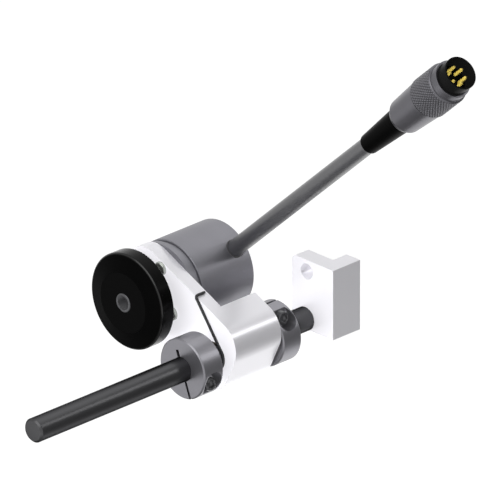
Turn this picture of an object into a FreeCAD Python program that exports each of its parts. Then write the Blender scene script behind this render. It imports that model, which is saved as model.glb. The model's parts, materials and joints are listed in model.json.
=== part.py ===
import FreeCAD
import Part
import math
import os

# Friction wheel encoder on a sprung arm. All sizes are in millimetres.
# X points to the right, Y rearward along the guide rod and Z up.
# The origin is the centre of the bracket's hole, on the bracket's front face.

# General clearances
seat_gap = 0.02        # radial, between pieces that are pressed, clamped or screwed together
running_gap = 0.03     # radial, between a shaft and the bush or seal it turns in
end_play = 0.1         # axial, beside pieces that turn
cut_margin = 1.0       # how far a cutting tool runs past the piece it cuts
screw_chamfer = 0.4    # at both ends of a cap screw

# Guide rod
rod_dia = 10.0
rod_length = 150.0
rod_chamfer = 0.8

# Mounting bracket, an L seen from above
bracket_hole_dia = 6.6
bracket_hole_spacing = 20.0    # from the hole down to the rod's axis
bracket_left = 8.2             # from the rod's axis to the left side
bracket_right = 14.7           # from the rod's axis to the right side
bracket_foot = 5.0             # from the rod's axis down to the lower side
bracket_top = 5.0              # from the hole's centre up to the upper side
bracket_plate = 7.5
bracket_leg = 7.5
bracket_leg_reach = 7.5
bracket_corner = 2.2

# Countersunk screw that holds the rod to the bracket, from behind
rod_screw_dia = 5.0
rod_screw_depth = 16.0
rod_screw_head_dia = 9.6
rod_screw_sink = 0.2           # how far the head lies below the bracket's rear face
rod_screw_socket = 3.0
rod_screw_socket_depth = 2.0
rod_screw_hole_gap = 0.25

# Shaft collars, slit and clamped by a cap screw
collar_dia = 25.0
front_collar_width = 10.5
rear_collar_width = 10.0
rear_collar_setback = 15.0     # from the bracket's front face
front_slit_angle = -69.0       # from +X towards +Z
rear_slit_angle = 95.5
collar_slit = 1.2
collar_relief_width = 1.5
collar_relief_reach = 8.0      # from the axis to the bottom of the relief groove
collar_chamfer = 0.5
collar_screw_dia = 3.0
collar_screw_length = 12.0
collar_screw_gap = 1.5         # between the rod and the screw that passes it
collar_screw_seat = 5.6        # from the slit's middle plane
collar_screw_head_dia = 5.5
collar_screw_head = 3.0
collar_screw_socket = 2.5
collar_recess_dia = 8.8

# Torsion spring between the front collar and the arm
spring_space = 7.0
spring_wire = 1.2
spring_coil_gap = 0.25         # between the rod and the coil
spring_turns = 4
spring_leg_reach = 18.4        # from the rod's axis towards the encoder, where the leg bends
spring_hook = 5.0              # how far the leg reaches over the arm's edge
spring_bend = 1.3

# Swing arm: a hub on the rod and a plate that carries the encoder
arm_angle = 25.0               # the plate's rise towards the encoder
centre_distance = 38.7         # rod axis to encoder axis
arm_width = 32.0
arm_corner = 11.0
arm_end = 16.8                 # from the encoder's axis to the plate's end
arm_plate = 6.0
hub_length = 24.9
hub_outer = 10.0               # from the rod's axis to the hub's outer side
hub_inner = 10.0               # from the rod's axis to the hub's side under the encoder

# Plain bushes in the hub
bush_wall = 1.0
bush_length = 10.0
bush_flange_dia = 18.0
bush_flange = 1.0
bush_recess = 0.5

# Encoder shell
encoder_dia = 36.5
flange_thickness = 2.5
groove_width = 2.2
groove_depth = 1.5
can_length = 28.1
can_wall = 1.5
can_round = 0.6
pilot_wall = 2.0
pilot_setback = 1.5            # behind the arm's front face
barrel_length = 7.3
barrel_shoulder = 1.5          # how far the shoulder between the bearings stands in
seal_ring_wire = 1.4

# Screws that hold the encoder to the arm
flange_screw_dia = 3.0
flange_screw_length = 12.0
flange_screw_margin = 3.0      # from the pilot's edge out to the screws
flange_screw_head_dia = 5.8
flange_screw_head = 2.0
flange_screw_rim = 1.0         # the head's straight side
flange_screw_crown = 0.3       # how far the head's shoulder lies below its top
flange_screw_shoulder_dia = 4.9
flange_screw_top_dia = 3.5
flange_screw_cross = 3.2
flange_screw_cross_width = 0.7
flange_screw_cross_depth = 1.0
flange_screw_hole_gap = 0.2
flange_screw_count = 4
thread_runout = 1.0

# Encoder shaft and its bearings
shaft_dia = 8.0
shaft_bore_dia = 5.9
shaft_bore_depth = 12.0
shaft_chamfer = 0.25
shaft_proud = 0.1              # how far the shaft stands out of the wheel
shaft_flat_depth = 0.4
shaft_flat_angle = -117.0      # from +X towards +Z
shaft_shoulder = 1.0
bearing_section = 4.0          # from the bearing's bore to its outside, on the radius
bearing_width = 5.0
bearing_ring = 1.3
ball_dia = 2.3
ball_gap = 0.1
ball_count = 7
seal_width = 1.5
circlip_width = 0.8
circlip_depth = 0.4
circlip_wall = 1.6
circlip_opening = 3.0

# Scanning parts inside the can
disc_hub_wall = 3.0
disc_hub_length = 2.0
code_disc_dia = 22.0
code_disc = 0.7
disc_setback = 0.3
scan_gap = 0.6
light_size = 4.0
board = 1.6
board_edge_gap = 1.2
sensor = 2.6
sensor_size = 6.0
post_dia = 2.4
post_count = 3
post_angle = 60.0
board_screw_dia = 1.0
board_screw_head_dia = 2.2
board_screw_head = 1.2
board_screw_depth = 5.0

# Friction wheel
wheel_dia = 40.0
wheel_tread = 6.7
wheel_width = 10.5
wheel_disc_dia = 25.0
wheel_flank_dia = 38.4
wheel_rim_chamfer = 0.5
wheel_boss_dia = 16.0
wheel_boss = 3.5
wheel_arm_gap = 1.4
tyre_key_width = 4.5
tyre_key_height = 2.5
set_screw_dia = 2.5
set_screw_socket = 1.3
set_screw_recess = 0.6

# Cable and its connector, set out along the cable's line
cable_dia = 7.0
cable_angle = 42.75            # the cable's rise from +X
cable_setback = 5.8            # from the can's rear end forward to the cable
cable_free_length = 101.3
exit_ring_wall = 0.4
exit_ring_proud = 0.1
exit_ring_flange = 0.25
exit_ring_flange_length = 1.0
clamp_wall = 0.7
clamp_length = 3.0
cable_tail = 0.4
relief_length = 24.9
relief_start_dia = 8.4
relief_end_dia = 11.2
relief_tail_length = 4.0
relief_tail_dia = 11.8
shell_start_dia = 12.4
shell_shoulder_dia = 14.8
shell_end_dia = 16.8
shell_shoulder = 2.2
shell_length = 19.2
shell_bore_dia = 12.0
sleeve_neck_dia = 13.3
sleeve_neck = 7.6
sleeve_shoulder_dia = 14.0
sleeve_shoulder = 2.4
sleeve_bore_dia = 11.8
ring_dia = 17.6
ring_length = 14.2
ring_gap = 0.2
ring_lip = 1.6
ring_chamfer = 0.6
ring_bore_dia = 14.2
ring_nose_dia = 15.8
ring_nose = 3.7
knurl_count = 44
knurl_depth = 0.35
insert_dia = 13.9
insert_reach = 5.6             # how far the insert stands out of the coupling ring
insert_wall = 0.75
insert_cavity = 8.0
pin_count = 6
pin_dia = 1.3
pin_circle_dia = 7.0
pin_recess = 1.7
pin_tail = 3.0
pin_tip_chamfer = 0.3
pin_first_angle = 25.0

# Places that follow from the sizes above
X_AXIS = FreeCAD.Vector(1, 0, 0)
Y_AXIS = FreeCAD.Vector(0, 1, 0)
Z_AXIS = FreeCAD.Vector(0, 0, 1)
ORIGIN = FreeCAD.Vector(0, 0, 0)

rod_radius = rod_dia / 2
rod_axis = FreeCAD.Vector(0, 0, -bracket_hole_spacing)

rod_screw_top = bracket_plate - rod_screw_sink

collar_screw_offset = rod_radius + collar_screw_gap + collar_screw_dia / 2
rear_collar_front = -rear_collar_setback - rear_collar_width
hub_rear = rear_collar_front - end_play - bush_flange
arm_front = hub_rear - hub_length
arm_rear = arm_front + arm_plate
front_collar_rear = arm_front - spring_space
front_collar_front = front_collar_rear - front_collar_width

arm_turn = math.radians(arm_angle)
encoder_axis = rod_axis + FreeCAD.Vector(
    -centre_distance * math.cos(arm_turn), 0, centre_distance * math.sin(arm_turn)
)

encoder_radius = encoder_dia / 2
can_front = arm_rear + flange_thickness + groove_width
can_rear = can_front + can_length
can_inner_radius = encoder_radius - can_wall
shaft_radius = shaft_dia / 2
bearing_radius = shaft_radius + bearing_section
pilot_radius = bearing_radius + pilot_wall
pilot_front = arm_front + pilot_setback
flange_screw_radius = pilot_radius + flange_screw_margin
barrel_rear = can_front + barrel_length
front_bearing_front = pilot_front + seal_width
rear_bearing_front = barrel_rear - bearing_width
ball_circle = shaft_radius + bearing_section / 2
circlip_front = barrel_rear
disc_hub_front = circlip_front + circlip_width + disc_setback
disc_front = disc_hub_front + disc_hub_length
disc_rear = disc_front + code_disc
board_front = disc_rear + scan_gap + sensor
board_rear = board_front + board
board_radius = can_inner_radius - board_edge_gap
post_circle = can_inner_radius - post_dia / 2 - seat_gap - board_edge_gap / 2
sensor_circle = (shaft_radius + disc_hub_wall + code_disc_dia / 2) / 2

wheel_rear = arm_front - wheel_arm_gap - wheel_boss
wheel_middle = wheel_rear - wheel_width / 2
wheel_front = wheel_rear - wheel_width
boss_rear = wheel_rear + wheel_boss
set_screw_place = wheel_rear + wheel_boss / 2
shaft_front = wheel_front - shaft_proud

cable_place = can_rear - cable_setback
cable_radius = cable_dia / 2
exit_ring_radius = cable_radius + exit_ring_wall
exit_flange_radius = exit_ring_radius + exit_ring_flange
exit_flange_end = math.sqrt(can_inner_radius ** 2 - exit_flange_radius ** 2) - end_play
clamp_end = exit_flange_end - exit_ring_flange_length
clamp_start = clamp_end - clamp_length
cable_start = clamp_start - cable_tail
relief_start = encoder_radius + cable_free_length
shell_start = relief_start + relief_length
shell_end = shell_start + shell_length
relief_end = shell_start + relief_tail_length
ring_start = shell_end + ring_gap
ring_end = ring_start + ring_length
nose_end = ring_end + ring_nose
sleeve_shoulder_start = ring_start + ring_lip + ring_gap
sleeve_start = sleeve_shoulder_start - sleeve_neck
insert_start = sleeve_shoulder_start + sleeve_shoulder
insert_end = nose_end + insert_reach
insert_tail = sleeve_start + pin_tail
cavity_floor = insert_end - insert_cavity
pin_tip = insert_end - pin_recess


def turned(profile, axis=Y_AXIS):
    """A solid of revolution. The profile's points are (place along the axis, radius)."""
    side = X_AXIS if axis is Z_AXIS else Z_AXIS
    points = [axis * along + side * radius for along, radius in profile]
    outline = Part.makePolygon(points + points[:1])
    return Part.Face(outline).revolve(ORIGIN, axis, 360)


def ring(inner, outer, start, end, axis=Y_AXIS):
    """A plain ring between two places on the axis."""
    return turned([(start, inner), (end, inner), (end, outer), (start, outer)], axis)


def disc(radius, start, end, axis=Y_AXIS):
    """A plain cylinder between two places on the axis."""
    return turned([(start, 0), (end, 0), (end, radius), (start, radius)], axis)


def hexagon(across, start, end, axis=Y_AXIS):
    """A six-sided prism between two places on the axis."""
    side = X_AXIS if axis is Z_AXIS else Z_AXIS
    other = axis.cross(side)
    corner = across / 2 / math.cos(math.pi / 6)
    turns = [math.radians(60 * i) for i in range(7)]
    points = [
        axis * start + side * corner * math.cos(t) + other * corner * math.sin(t)
        for t in turns
    ]
    return Part.Face(Part.makePolygon(points)).extrude(axis * (end - start))


def slab(low, high):
    """A box from its lowest to its highest corner."""
    low = FreeCAD.Vector(*low)
    size = FreeCAD.Vector(*high) - low
    return Part.makeBox(size.x, size.y, size.z, low)


def moved(shape, turn, place):
    """The shape turned about Y by an angle from +X towards +Z, then moved to a place."""
    rotation = FreeCAD.Rotation(Y_AXIS, -turn)
    return shape.transformed(FreeCAD.Placement(place, rotation).toMatrix(), True)


def on_rod(shape, turn=0.0):
    """Sets a shape that was made round the Y axis on the guide rod."""
    return moved(shape, turn, rod_axis)


def on_arm(shape):
    """Sets a shape made with X from the encoder towards the rod, and the rod at the origin."""
    return moved(shape, -arm_angle, rod_axis)


def on_encoder(shape, turn=0.0):
    """Sets a shape that was made round the Y axis on the encoder's axis."""
    return moved(shape, turn, encoder_axis)


def on_cable(shape):
    """Sets a shape that was made round the X axis on the cable's line."""
    return moved(shape, cable_angle, encoder_axis + Y_AXIS * cable_place)


def cap_screw(dia, length, head_dia, head, socket, axis=Y_AXIS):
    """A socket head cap screw: its head stands on the origin along the axis."""
    chamfer = screw_chamfer
    body = turned(
        [
            (-length, 0),
            (-length, dia / 2 - chamfer),
            (-length + chamfer, dia / 2),
            (0, dia / 2),
            (0, head_dia / 2),
            (head - chamfer, head_dia / 2),
            (head, head_dia / 2 - chamfer),
            (head, 0),
        ],
        axis,
    )
    return body.cut(hexagon(socket, head / 2, head + cut_margin, axis))


def guide_rod():
    """The plain rod, chamfered at both ends and tapped at the rear end."""
    body = turned(
        [
            (-rod_length, 0),
            (-rod_length, rod_radius - rod_chamfer),
            (-rod_length + rod_chamfer, rod_radius),
            (-rod_chamfer, rod_radius),
            (0, rod_radius - rod_chamfer),
            (0, 0),
        ]
    )
    tapped = disc(
        rod_screw_dia / 2 + seat_gap, -rod_screw_depth - thread_runout, cut_margin
    )
    return on_rod(body.cut(tapped))


def mounting_bracket():
    """The L-shaped block. Its leg keeps it from turning on what it is bolted to."""
    bottom = rod_axis.z - bracket_foot
    plate = slab((-bracket_left, 0, bottom), (bracket_right, bracket_plate, bracket_top))
    leg = slab(
        (bracket_right - bracket_leg, 0, bottom),
        (bracket_right, bracket_plate + bracket_leg_reach, bracket_top),
    )
    body = plate.fuse(leg).removeSplitter()
    left_edges = [
        e
        for e in body.Edges
        if e.BoundBox.ZLength < seat_gap and e.BoundBox.XMax < seat_gap - bracket_left
    ]
    body = body.makeFillet(bracket_corner, left_edges)
    bolt_hole = disc(bracket_hole_dia / 2, -cut_margin, bracket_plate + cut_margin)
    screw_hole = disc(
        rod_screw_dia / 2 + rod_screw_hole_gap, -cut_margin, bracket_plate + cut_margin
    )
    # The countersink's cone is square at its tip, as the screw's head is
    tip = rod_screw_top - rod_screw_head_dia / 2 - seat_gap
    behind = bracket_plate + cut_margin
    countersink = turned([(tip, 0), (behind, 0), (behind, behind - tip)])
    return body.cut(bolt_hole).cut(on_rod(screw_hole)).cut(on_rod(countersink))


def bracket_screw():
    """The countersunk screw behind the bracket that pulls the rod against it."""
    shank = rod_screw_dia / 2
    head = rod_screw_head_dia / 2
    top = rod_screw_top
    body = turned(
        [
            (-rod_screw_depth, 0),
            (-rod_screw_depth, shank - screw_chamfer),
            (-rod_screw_depth + screw_chamfer, shank),
            (top - head + shank, shank),
            (top, head),
            (top, 0),
        ]
    )
    socket = hexagon(rod_screw_socket, top - rod_screw_socket_depth, top + cut_margin)
    return on_rod(body.cut(socket))


def collar_body(width):
    """A clamping collar centred on the origin, with its slit along +X and its screw along Z."""
    half = width / 2
    radius = collar_dia / 2
    bore = rod_radius + seat_gap
    body = turned(
        [
            (-half, bore),
            (half, bore),
            (half, radius - collar_chamfer),
            (half - collar_chamfer, radius),
            (-half + collar_chamfer, radius),
            (-half, radius - collar_chamfer),
        ]
    )
    slit = slab((0, -width, -collar_slit / 2), (collar_dia, width, collar_slit / 2))
    relief = slab(
        (-collar_relief_reach, -width, -collar_relief_width / 2),
        (0, width, collar_relief_width / 2),
    )
    recess = disc(collar_recess_dia / 2, collar_screw_seat, collar_dia, Z_AXIS)
    hole = disc(
        collar_screw_dia / 2 + seat_gap, -collar_dia, collar_screw_seat + seat_gap, Z_AXIS
    )
    screw_cut = recess.fuse(hole)
    screw_cut.translate(X_AXIS * collar_screw_offset)
    return body.cut(slit).cut(relief).cut(screw_cut)


def collar_clamp_screw():
    """The collar's cap screw, in the collar's own frame."""
    screw = cap_screw(
        collar_screw_dia,
        collar_screw_length,
        collar_screw_head_dia,
        collar_screw_head,
        collar_screw_socket,
        Z_AXIS,
    )
    screw.translate(X_AXIS * collar_screw_offset + Z_AXIS * collar_screw_seat)
    return screw


def as_front_collar(shape):
    """Sets a piece of the front collar in its place."""
    middle = Y_AXIS * (front_collar_front + front_collar_width / 2)
    return moved(shape, front_slit_angle, rod_axis + middle)


def as_rear_collar(shape):
    """Sets a piece of the rear collar in its place: the same collar, put on the other way round."""
    middle = Y_AXIS * (rear_collar_front + rear_collar_width / 2)
    flipped = shape.copy()
    flipped.rotate(ORIGIN, X_AXIS, 180)
    return moved(flipped, rear_slit_angle, rod_axis + middle)


def spring_wire_corner():
    """From the middle of the wire's octagon to its corners."""
    return spring_wire / 2 / math.cos(math.pi / 8)


def wire_section(place, direction):
    """The wire's section as an octagon across a direction, with its middle at a place."""
    other = direction.cross(Y_AXIS if abs(direction.y) < 0.5 else X_AXIS).normalize()
    side = other.cross(direction).normalize()
    corner = spring_wire_corner()
    turns = [math.pi / 8 + math.pi / 4 * i for i in range(9)]
    return Part.makePolygon(
        [
            place + side * corner * math.cos(t) + other * corner * math.sin(t)
            for t in turns
        ]
    )


def swept_wire(edges, start, direction):
    """The spring's wire along a line, round a bend or round the coil."""
    return Part.Wire(edges).makePipeShell([wire_section(start, direction)], True, True)


def torsion_spring():
    """The wire: an anchor in the front collar's groove, the coil, and a leg over the arm's edge."""
    wire_radius = spring_wire / 2
    coil_radius = rod_radius + spring_coil_gap + wire_radius
    start_angle = math.radians(front_slit_angle + 180)
    front = front_collar_rear + wire_radius + end_play
    rear = arm_front - wire_radius - end_play
    edge = arm_width / 2 + spring_wire_corner() + end_play
    # The point where the leg bends, in the plane across the rod
    bend_x = -spring_leg_reach * math.cos(arm_turn) + edge * math.sin(arm_turn)
    bend_z = spring_leg_reach * math.sin(arm_turn) + edge * math.cos(arm_turn)
    bend_distance = math.hypot(bend_x, bend_z)
    leave_angle = math.atan2(bend_z, bend_x) - math.acos(coil_radius / bend_distance)
    turn = leave_angle - start_angle + 2 * math.pi * spring_turns
    pitch = (rear - front) * 2 * math.pi / turn

    def on_coil(angle, along):
        return FreeCAD.Vector(
            coil_radius * math.cos(angle), along, coil_radius * math.sin(angle)
        )

    # The helix is made round Z, laid along the rod and turned to the anchor
    helix = Part.makeHelix(pitch, rear - front, coil_radius, 0, True)
    helix.rotate(ORIGIN, X_AXIS, -90)
    helix.rotate(ORIGIN, Y_AXIS, -math.degrees(start_angle))
    helix.translate(Y_AXIS * front)
    first = helix.Edges[0]
    coil_start = on_coil(start_angle, front)
    coil = swept_wire(helix.Edges, coil_start, first.tangentAt(first.FirstParameter))

    leave = on_coil(leave_angle, rear)
    corner = FreeCAD.Vector(bend_x, rear, bend_z)
    out = (corner - leave).normalize()
    before = corner - out * spring_bend
    after = corner + Y_AXIS * spring_bend
    middle = before + Y_AXIS * spring_bend + (out - Y_AXIS).normalize() * spring_bend
    leg_start = leave - out * end_play
    leg = swept_wire(
        [
            Part.LineSegment(leg_start, before).toShape(),
            Part.Arc(before, middle, after).toShape(),
            Part.LineSegment(after, corner + Y_AXIS * spring_hook).toShape(),
        ],
        leg_start,
        out,
    )
    anchor_start = coil_start - Y_AXIS * (front_collar_width / 2)
    anchor_end = coil_start + Y_AXIS * wire_radius
    anchor = swept_wire(
        [Part.LineSegment(anchor_start, anchor_end).toShape()], anchor_start, Y_AXIS
    )
    return on_rod(coil.multiFuse([leg, anchor]))


def arm_outline(start):
    """The arm's face, a rectangle with round corners, in the plane at one place along Y."""
    low = -centre_distance - arm_end
    high = hub_outer
    half = arm_width / 2
    r = arm_corner
    inset = r * (1 - math.cos(math.pi / 4))

    def at(p, q):
        return FreeCAD.Vector(p, start, q)

    edges = [
        Part.LineSegment(at(low + r, -half), at(high - r, -half)),
        Part.Arc(at(high - r, -half), at(high - inset, -half + inset), at(high, -half + r)),
        Part.LineSegment(at(high, -half + r), at(high, half - r)),
        Part.Arc(at(high, half - r), at(high - inset, half - inset), at(high - r, half)),
        Part.LineSegment(at(high - r, half), at(low + r, half)),
        Part.Arc(at(low + r, half), at(low + inset, half - inset), at(low, half - r)),
        Part.LineSegment(at(low, half - r), at(low, -half + r)),
        Part.Arc(at(low, -half + r), at(low + inset, -half + inset), at(low + r, -half)),
    ]
    return Part.Face(Part.Wire([e.toShape() for e in edges]))


def flange_screw_places():
    """The encoder's screws on their circle, in the arm's frame, as (along, across) pairs."""
    turns = [2 * math.pi * i / flange_screw_count for i in range(flange_screw_count)]
    return [
        (
            -centre_distance + flange_screw_radius * math.cos(t),
            flange_screw_radius * math.sin(t),
        )
        for t in turns
    ]


def swing_arm():
    """The plate and the hub in one piece, bored for the bushes, the encoder and its screws."""
    plate = arm_outline(arm_front).extrude(Y_AXIS * arm_plate)
    whole = arm_outline(arm_front).extrude(Y_AXIS * hub_length)
    hub_space = slab(
        (-hub_inner, arm_front, -arm_width), (arm_width, hub_rear, arm_width)
    )
    body = plate.fuse(whole.common(hub_space)).removeSplitter()
    bush_bore = disc(
        bush_outer_radius() + seat_gap, arm_front - cut_margin, hub_rear + cut_margin
    )
    body = body.cut(bush_bore)
    pilot_bore = disc(
        pilot_radius + seat_gap, arm_front - cut_margin, arm_rear + cut_margin
    )
    pilot_bore.translate(X_AXIS * -centre_distance)
    body = body.cut(pilot_bore)
    for along, across in flange_screw_places():
        hole = disc(
            flange_screw_dia / 2 + flange_screw_hole_gap,
            arm_front - cut_margin,
            arm_rear + cut_margin,
        )
        hole.translate(X_AXIS * along + Z_AXIS * across)
        body = body.cut(hole)
    return on_arm(body)


def bush_outer_radius():
    """The bushes' outer radius, from the rod outward."""
    return rod_radius + running_gap + bush_wall


def front_bush():
    """The plain bush at the hub's front end."""
    start = arm_front + bush_recess
    return on_rod(
        ring(rod_radius + running_gap, bush_outer_radius(), start, start + bush_length)
    )


def rear_bush():
    """The flanged bush at the hub's rear end, which runs against the rear collar."""
    bore = rod_radius + running_gap
    return on_rod(
        turned(
            [
                (hub_rear - bush_length, bore),
                (hub_rear + bush_flange, bore),
                (hub_rear + bush_flange, bush_flange_dia / 2),
                (hub_rear, bush_flange_dia / 2),
                (hub_rear, bush_outer_radius()),
                (hub_rear - bush_length, bush_outer_radius()),
            ]
        )
    )


def flange_screw(along, across):
    """A pan head screw with a cross recess, its head on the arm's front face."""
    head_radius = flange_screw_head_dia / 2
    body = turned(
        [
            (flange_screw_length, 0),
            (flange_screw_length, flange_screw_dia / 2),
            (0, flange_screw_dia / 2),
            (0, head_radius),
            (-flange_screw_rim, head_radius),
            (-flange_screw_head + flange_screw_crown, flange_screw_shoulder_dia / 2),
            (-flange_screw_head, flange_screw_top_dia / 2),
            (-flange_screw_head, 0),
        ]
    )
    half = flange_screw_cross / 2
    thin = flange_screw_cross_width / 2
    top = -flange_screw_head - cut_margin
    floor = -flange_screw_head + flange_screw_cross_depth
    cross = slab((-half, top, -thin), (half, floor, thin)).fuse(
        slab((-thin, top, -half), (thin, floor, half))
    )
    screw = body.cut(cross)
    screw.translate(FreeCAD.Vector(along, arm_front, across))
    return on_arm(screw)


def encoder_flange():
    """The turned flange: pilot, rim, groove and the barrel that the can slides over."""
    barrel = can_inner_radius - seat_gap
    rear_of_rim = arm_rear + flange_thickness
    ring_front = (can_front + rear_bearing_front) / 2
    ring_floor = barrel - seal_ring_wire
    neck_radius = min(encoder_radius - groove_depth, can_inner_radius)
    seat = bearing_radius + seat_gap
    shoulder = bearing_radius - barrel_shoulder
    front_seat_end = front_bearing_front + bearing_width
    body = turned(
        [
            (pilot_front, seat),
            (front_seat_end, seat),
            (front_seat_end, shoulder),
            (rear_bearing_front, shoulder),
            (rear_bearing_front, seat),
            (barrel_rear, seat),
            (barrel_rear, barrel),
            (ring_front + seal_ring_wire, barrel),
            (ring_front + seal_ring_wire, ring_floor),
            (ring_front, ring_floor),
            (ring_front, barrel),
            (can_front, barrel),
            (can_front, neck_radius),
            (rear_of_rim, neck_radius),
            (rear_of_rim, encoder_radius),
            (arm_rear, encoder_radius),
            (arm_rear, pilot_radius),
            (pilot_front, pilot_radius),
        ]
    )
    body = on_encoder(body)
    depth = arm_front + flange_screw_length + thread_runout
    for along, across in flange_screw_places():
        hole = disc(flange_screw_dia / 2 + seat_gap, arm_rear - cut_margin, depth)
        hole.translate(X_AXIS * along + Z_AXIS * across)
        body = body.cut(on_arm(hole))
    return body


def flange_o_ring():
    """The ring that seals the can on the flange's barrel, with a six-sided section."""
    half = seal_ring_wire / 2 - seat_gap
    middle = (can_front + rear_bearing_front) / 2 + seal_ring_wire / 2
    radius = can_inner_radius - seat_gap - seal_ring_wire / 2
    corners = [math.radians(60 * i) for i in range(6)]
    return on_encoder(
        turned(
            [(middle + half * math.cos(c), radius + half * math.sin(c)) for c in corners]
        )
    )


def encoder_housing():
    """The can, with the hole for the cable in its side."""
    body = turned(
        [
            (can_front, can_inner_radius),
            (can_rear - can_wall, can_inner_radius),
            (can_rear - can_wall, 0),
            (can_rear, 0),
            (can_rear, encoder_radius - can_round),
            (can_rear - can_round, encoder_radius),
            (can_front, encoder_radius),
        ]
    )
    hole = disc(exit_ring_radius + seat_gap, shaft_radius, encoder_dia, X_AXIS)
    return on_encoder(body).cut(on_cable(hole))


def bearing_outer_ring(front):
    """A bearing's outer ring with its ball track."""
    return on_encoder(
        turned(ball_track(front, bearing_radius, bearing_radius - bearing_ring, 1))
    )


def bearing_inner_ring(front):
    """A bearing's inner ring with its ball track."""
    return on_encoder(
        turned(
            ball_track(front, shaft_radius + seat_gap, shaft_radius + bearing_ring, -1)
        )
    )


def ball_track(front, seat, face, outward):
    """A ring's section: a plain seat on one side, and a track for the balls in the other."""
    middle = front + bearing_width / 2
    rear = front + bearing_width
    floor = ball_circle + outward * (ball_dia / 2 + ball_gap)
    depth = abs(floor - face)
    return [
        (front, seat),
        (rear, seat),
        (rear, face),
        (middle + ball_dia / 2, face),
        (middle + ball_dia / 2 - depth, floor),
        (middle - ball_dia / 2 + depth, floor),
        (middle - ball_dia / 2, face),
        (front, face),
    ]


def bearing_balls(front):
    """A bearing's balls, as separate solids with a few faces each."""
    radius = ball_dia / 2
    corners = [math.radians(60 * i) for i in range(4)]
    ball = turned([(-radius * math.cos(c), radius * math.sin(c)) for c in corners])
    balls = []
    for i in range(ball_count):
        turn = 2 * math.pi * i / ball_count
        place = FreeCAD.Vector(
            ball_circle * math.cos(turn),
            front + bearing_width / 2,
            ball_circle * math.sin(turn),
        )
        balls.append(ball.translated(place))
    return on_encoder(Part.makeCompound(balls))


def shaft_seal():
    """The sealing ring in front of the front bearing."""
    return on_encoder(
        ring(shaft_radius + running_gap, bearing_radius, pilot_front, front_bearing_front)
    )


def encoder_shaft():
    """The shaft: bored at the front, with a flat for the set screw and a circlip groove."""
    front_bearing_rear = front_bearing_front + bearing_width
    shoulder = shaft_radius + shaft_shoulder
    groove_end = circlip_front + circlip_width
    body = turned(
        [
            (shaft_front, 0),
            (shaft_front, shaft_radius - shaft_chamfer),
            (shaft_front + shaft_chamfer, shaft_radius),
            (front_bearing_rear, shaft_radius),
            (front_bearing_rear, shoulder),
            (rear_bearing_front, shoulder),
            (rear_bearing_front, shaft_radius),
            (circlip_front, shaft_radius),
            (circlip_front, shaft_radius - circlip_depth),
            (groove_end, shaft_radius - circlip_depth),
            (groove_end, shaft_radius),
            (disc_rear, shaft_radius),
            (disc_rear, 0),
        ]
    )
    bore = disc(
        shaft_bore_dia / 2, shaft_front - cut_margin, shaft_front + shaft_bore_depth
    )
    flat = slab(
        (shaft_radius - shaft_flat_depth, shaft_front - cut_margin, -shaft_dia),
        (shaft_dia, boss_rear, shaft_dia),
    )
    return on_encoder(body.cut(bore).cut(flat), shaft_flat_angle)


def shaft_circlip():
    """The open ring that keeps the shaft in its bearings."""
    inner = shaft_radius - circlip_depth + seat_gap
    outer = inner + circlip_wall
    body = ring(
        inner, outer, circlip_front + seat_gap, circlip_front + circlip_width - seat_gap
    )
    half = circlip_opening / 2
    opening = slab((0, circlip_front - cut_margin, -half), (outer * 2, disc_rear, half))
    return on_encoder(body.cut(opening))


def code_disc_hub():
    """The hub that carries the code disc on the shaft."""
    inner = shaft_radius + seat_gap
    return on_encoder(
        ring(inner, shaft_radius + disc_hub_wall, disc_hub_front, disc_front)
    )


def code_disc_plate():
    """The glass code disc, bonded to its hub."""
    inner = shaft_radius + seat_gap
    return on_encoder(ring(inner, code_disc_dia / 2, disc_front, disc_rear))


def light_source():
    """The light source, on the flange's rear face in front of the disc."""
    half = light_size / 2
    return on_encoder(
        slab(
            (sensor_circle - half, barrel_rear, -half),
            (sensor_circle + half, disc_front - scan_gap, half),
        )
    )


def photo_sensor():
    """The sensor, on the board's front face behind the disc."""
    half = sensor_size / 2
    return on_encoder(
        slab(
            (sensor_circle - half, disc_rear + scan_gap, -half),
            (sensor_circle + half, board_front, half),
        )
    )


def post_places():
    """The board's posts on their circle, as points across the encoder's axis."""
    turns = [
        math.radians(post_angle) + 2 * math.pi * i / post_count for i in range(post_count)
    ]
    return [
        X_AXIS * post_circle * math.cos(t) + Z_AXIS * post_circle * math.sin(t)
        for t in turns
    ]


def circuit_board():
    """The round board behind the disc, with holes for its screws."""
    body = disc(board_radius, board_front, board_rear)
    for place in post_places():
        hole = disc(
            board_screw_dia / 2 + seat_gap,
            board_front - cut_margin,
            board_rear + cut_margin,
        )
        hole.translate(place)
        body = body.cut(hole)
    return on_encoder(body)


def board_posts():
    """The posts between the flange and the board, as separate solids."""
    posts = []
    for place in post_places():
        post = disc(post_dia / 2, barrel_rear, board_front)
        tapped = disc(
            board_screw_dia / 2 + seat_gap,
            board_rear - board_screw_depth,
            board_front + cut_margin,
        )
        post = post.cut(tapped)
        post.translate(place)
        posts.append(post)
    return on_encoder(Part.makeCompound(posts))


def board_screws():
    """The small screws behind the board, as separate solids."""
    screws = []
    for place in post_places():
        screw = disc(
            board_screw_dia / 2, board_rear - board_screw_depth + board_screw_head, board_rear
        ).fuse(disc(board_screw_head_dia / 2, board_rear, board_rear + board_screw_head))
        screw.translate(place)
        screws.append(screw)
    return on_encoder(Part.makeCompound(screws))


def wheel_key(gap):
    """The wheel disc's section with the key in its rim, as (place, radius) pairs."""
    radius = wheel_disc_dia / 2 + gap
    crest = radius + tyre_key_height
    half = tyre_key_width / 2 + gap
    return [
        (wheel_front, radius),
        (wheel_middle - half, radius),
        (wheel_middle - half, crest),
        (wheel_middle + half, crest),
        (wheel_middle + half, radius),
        (wheel_rear, radius),
    ]


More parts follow.
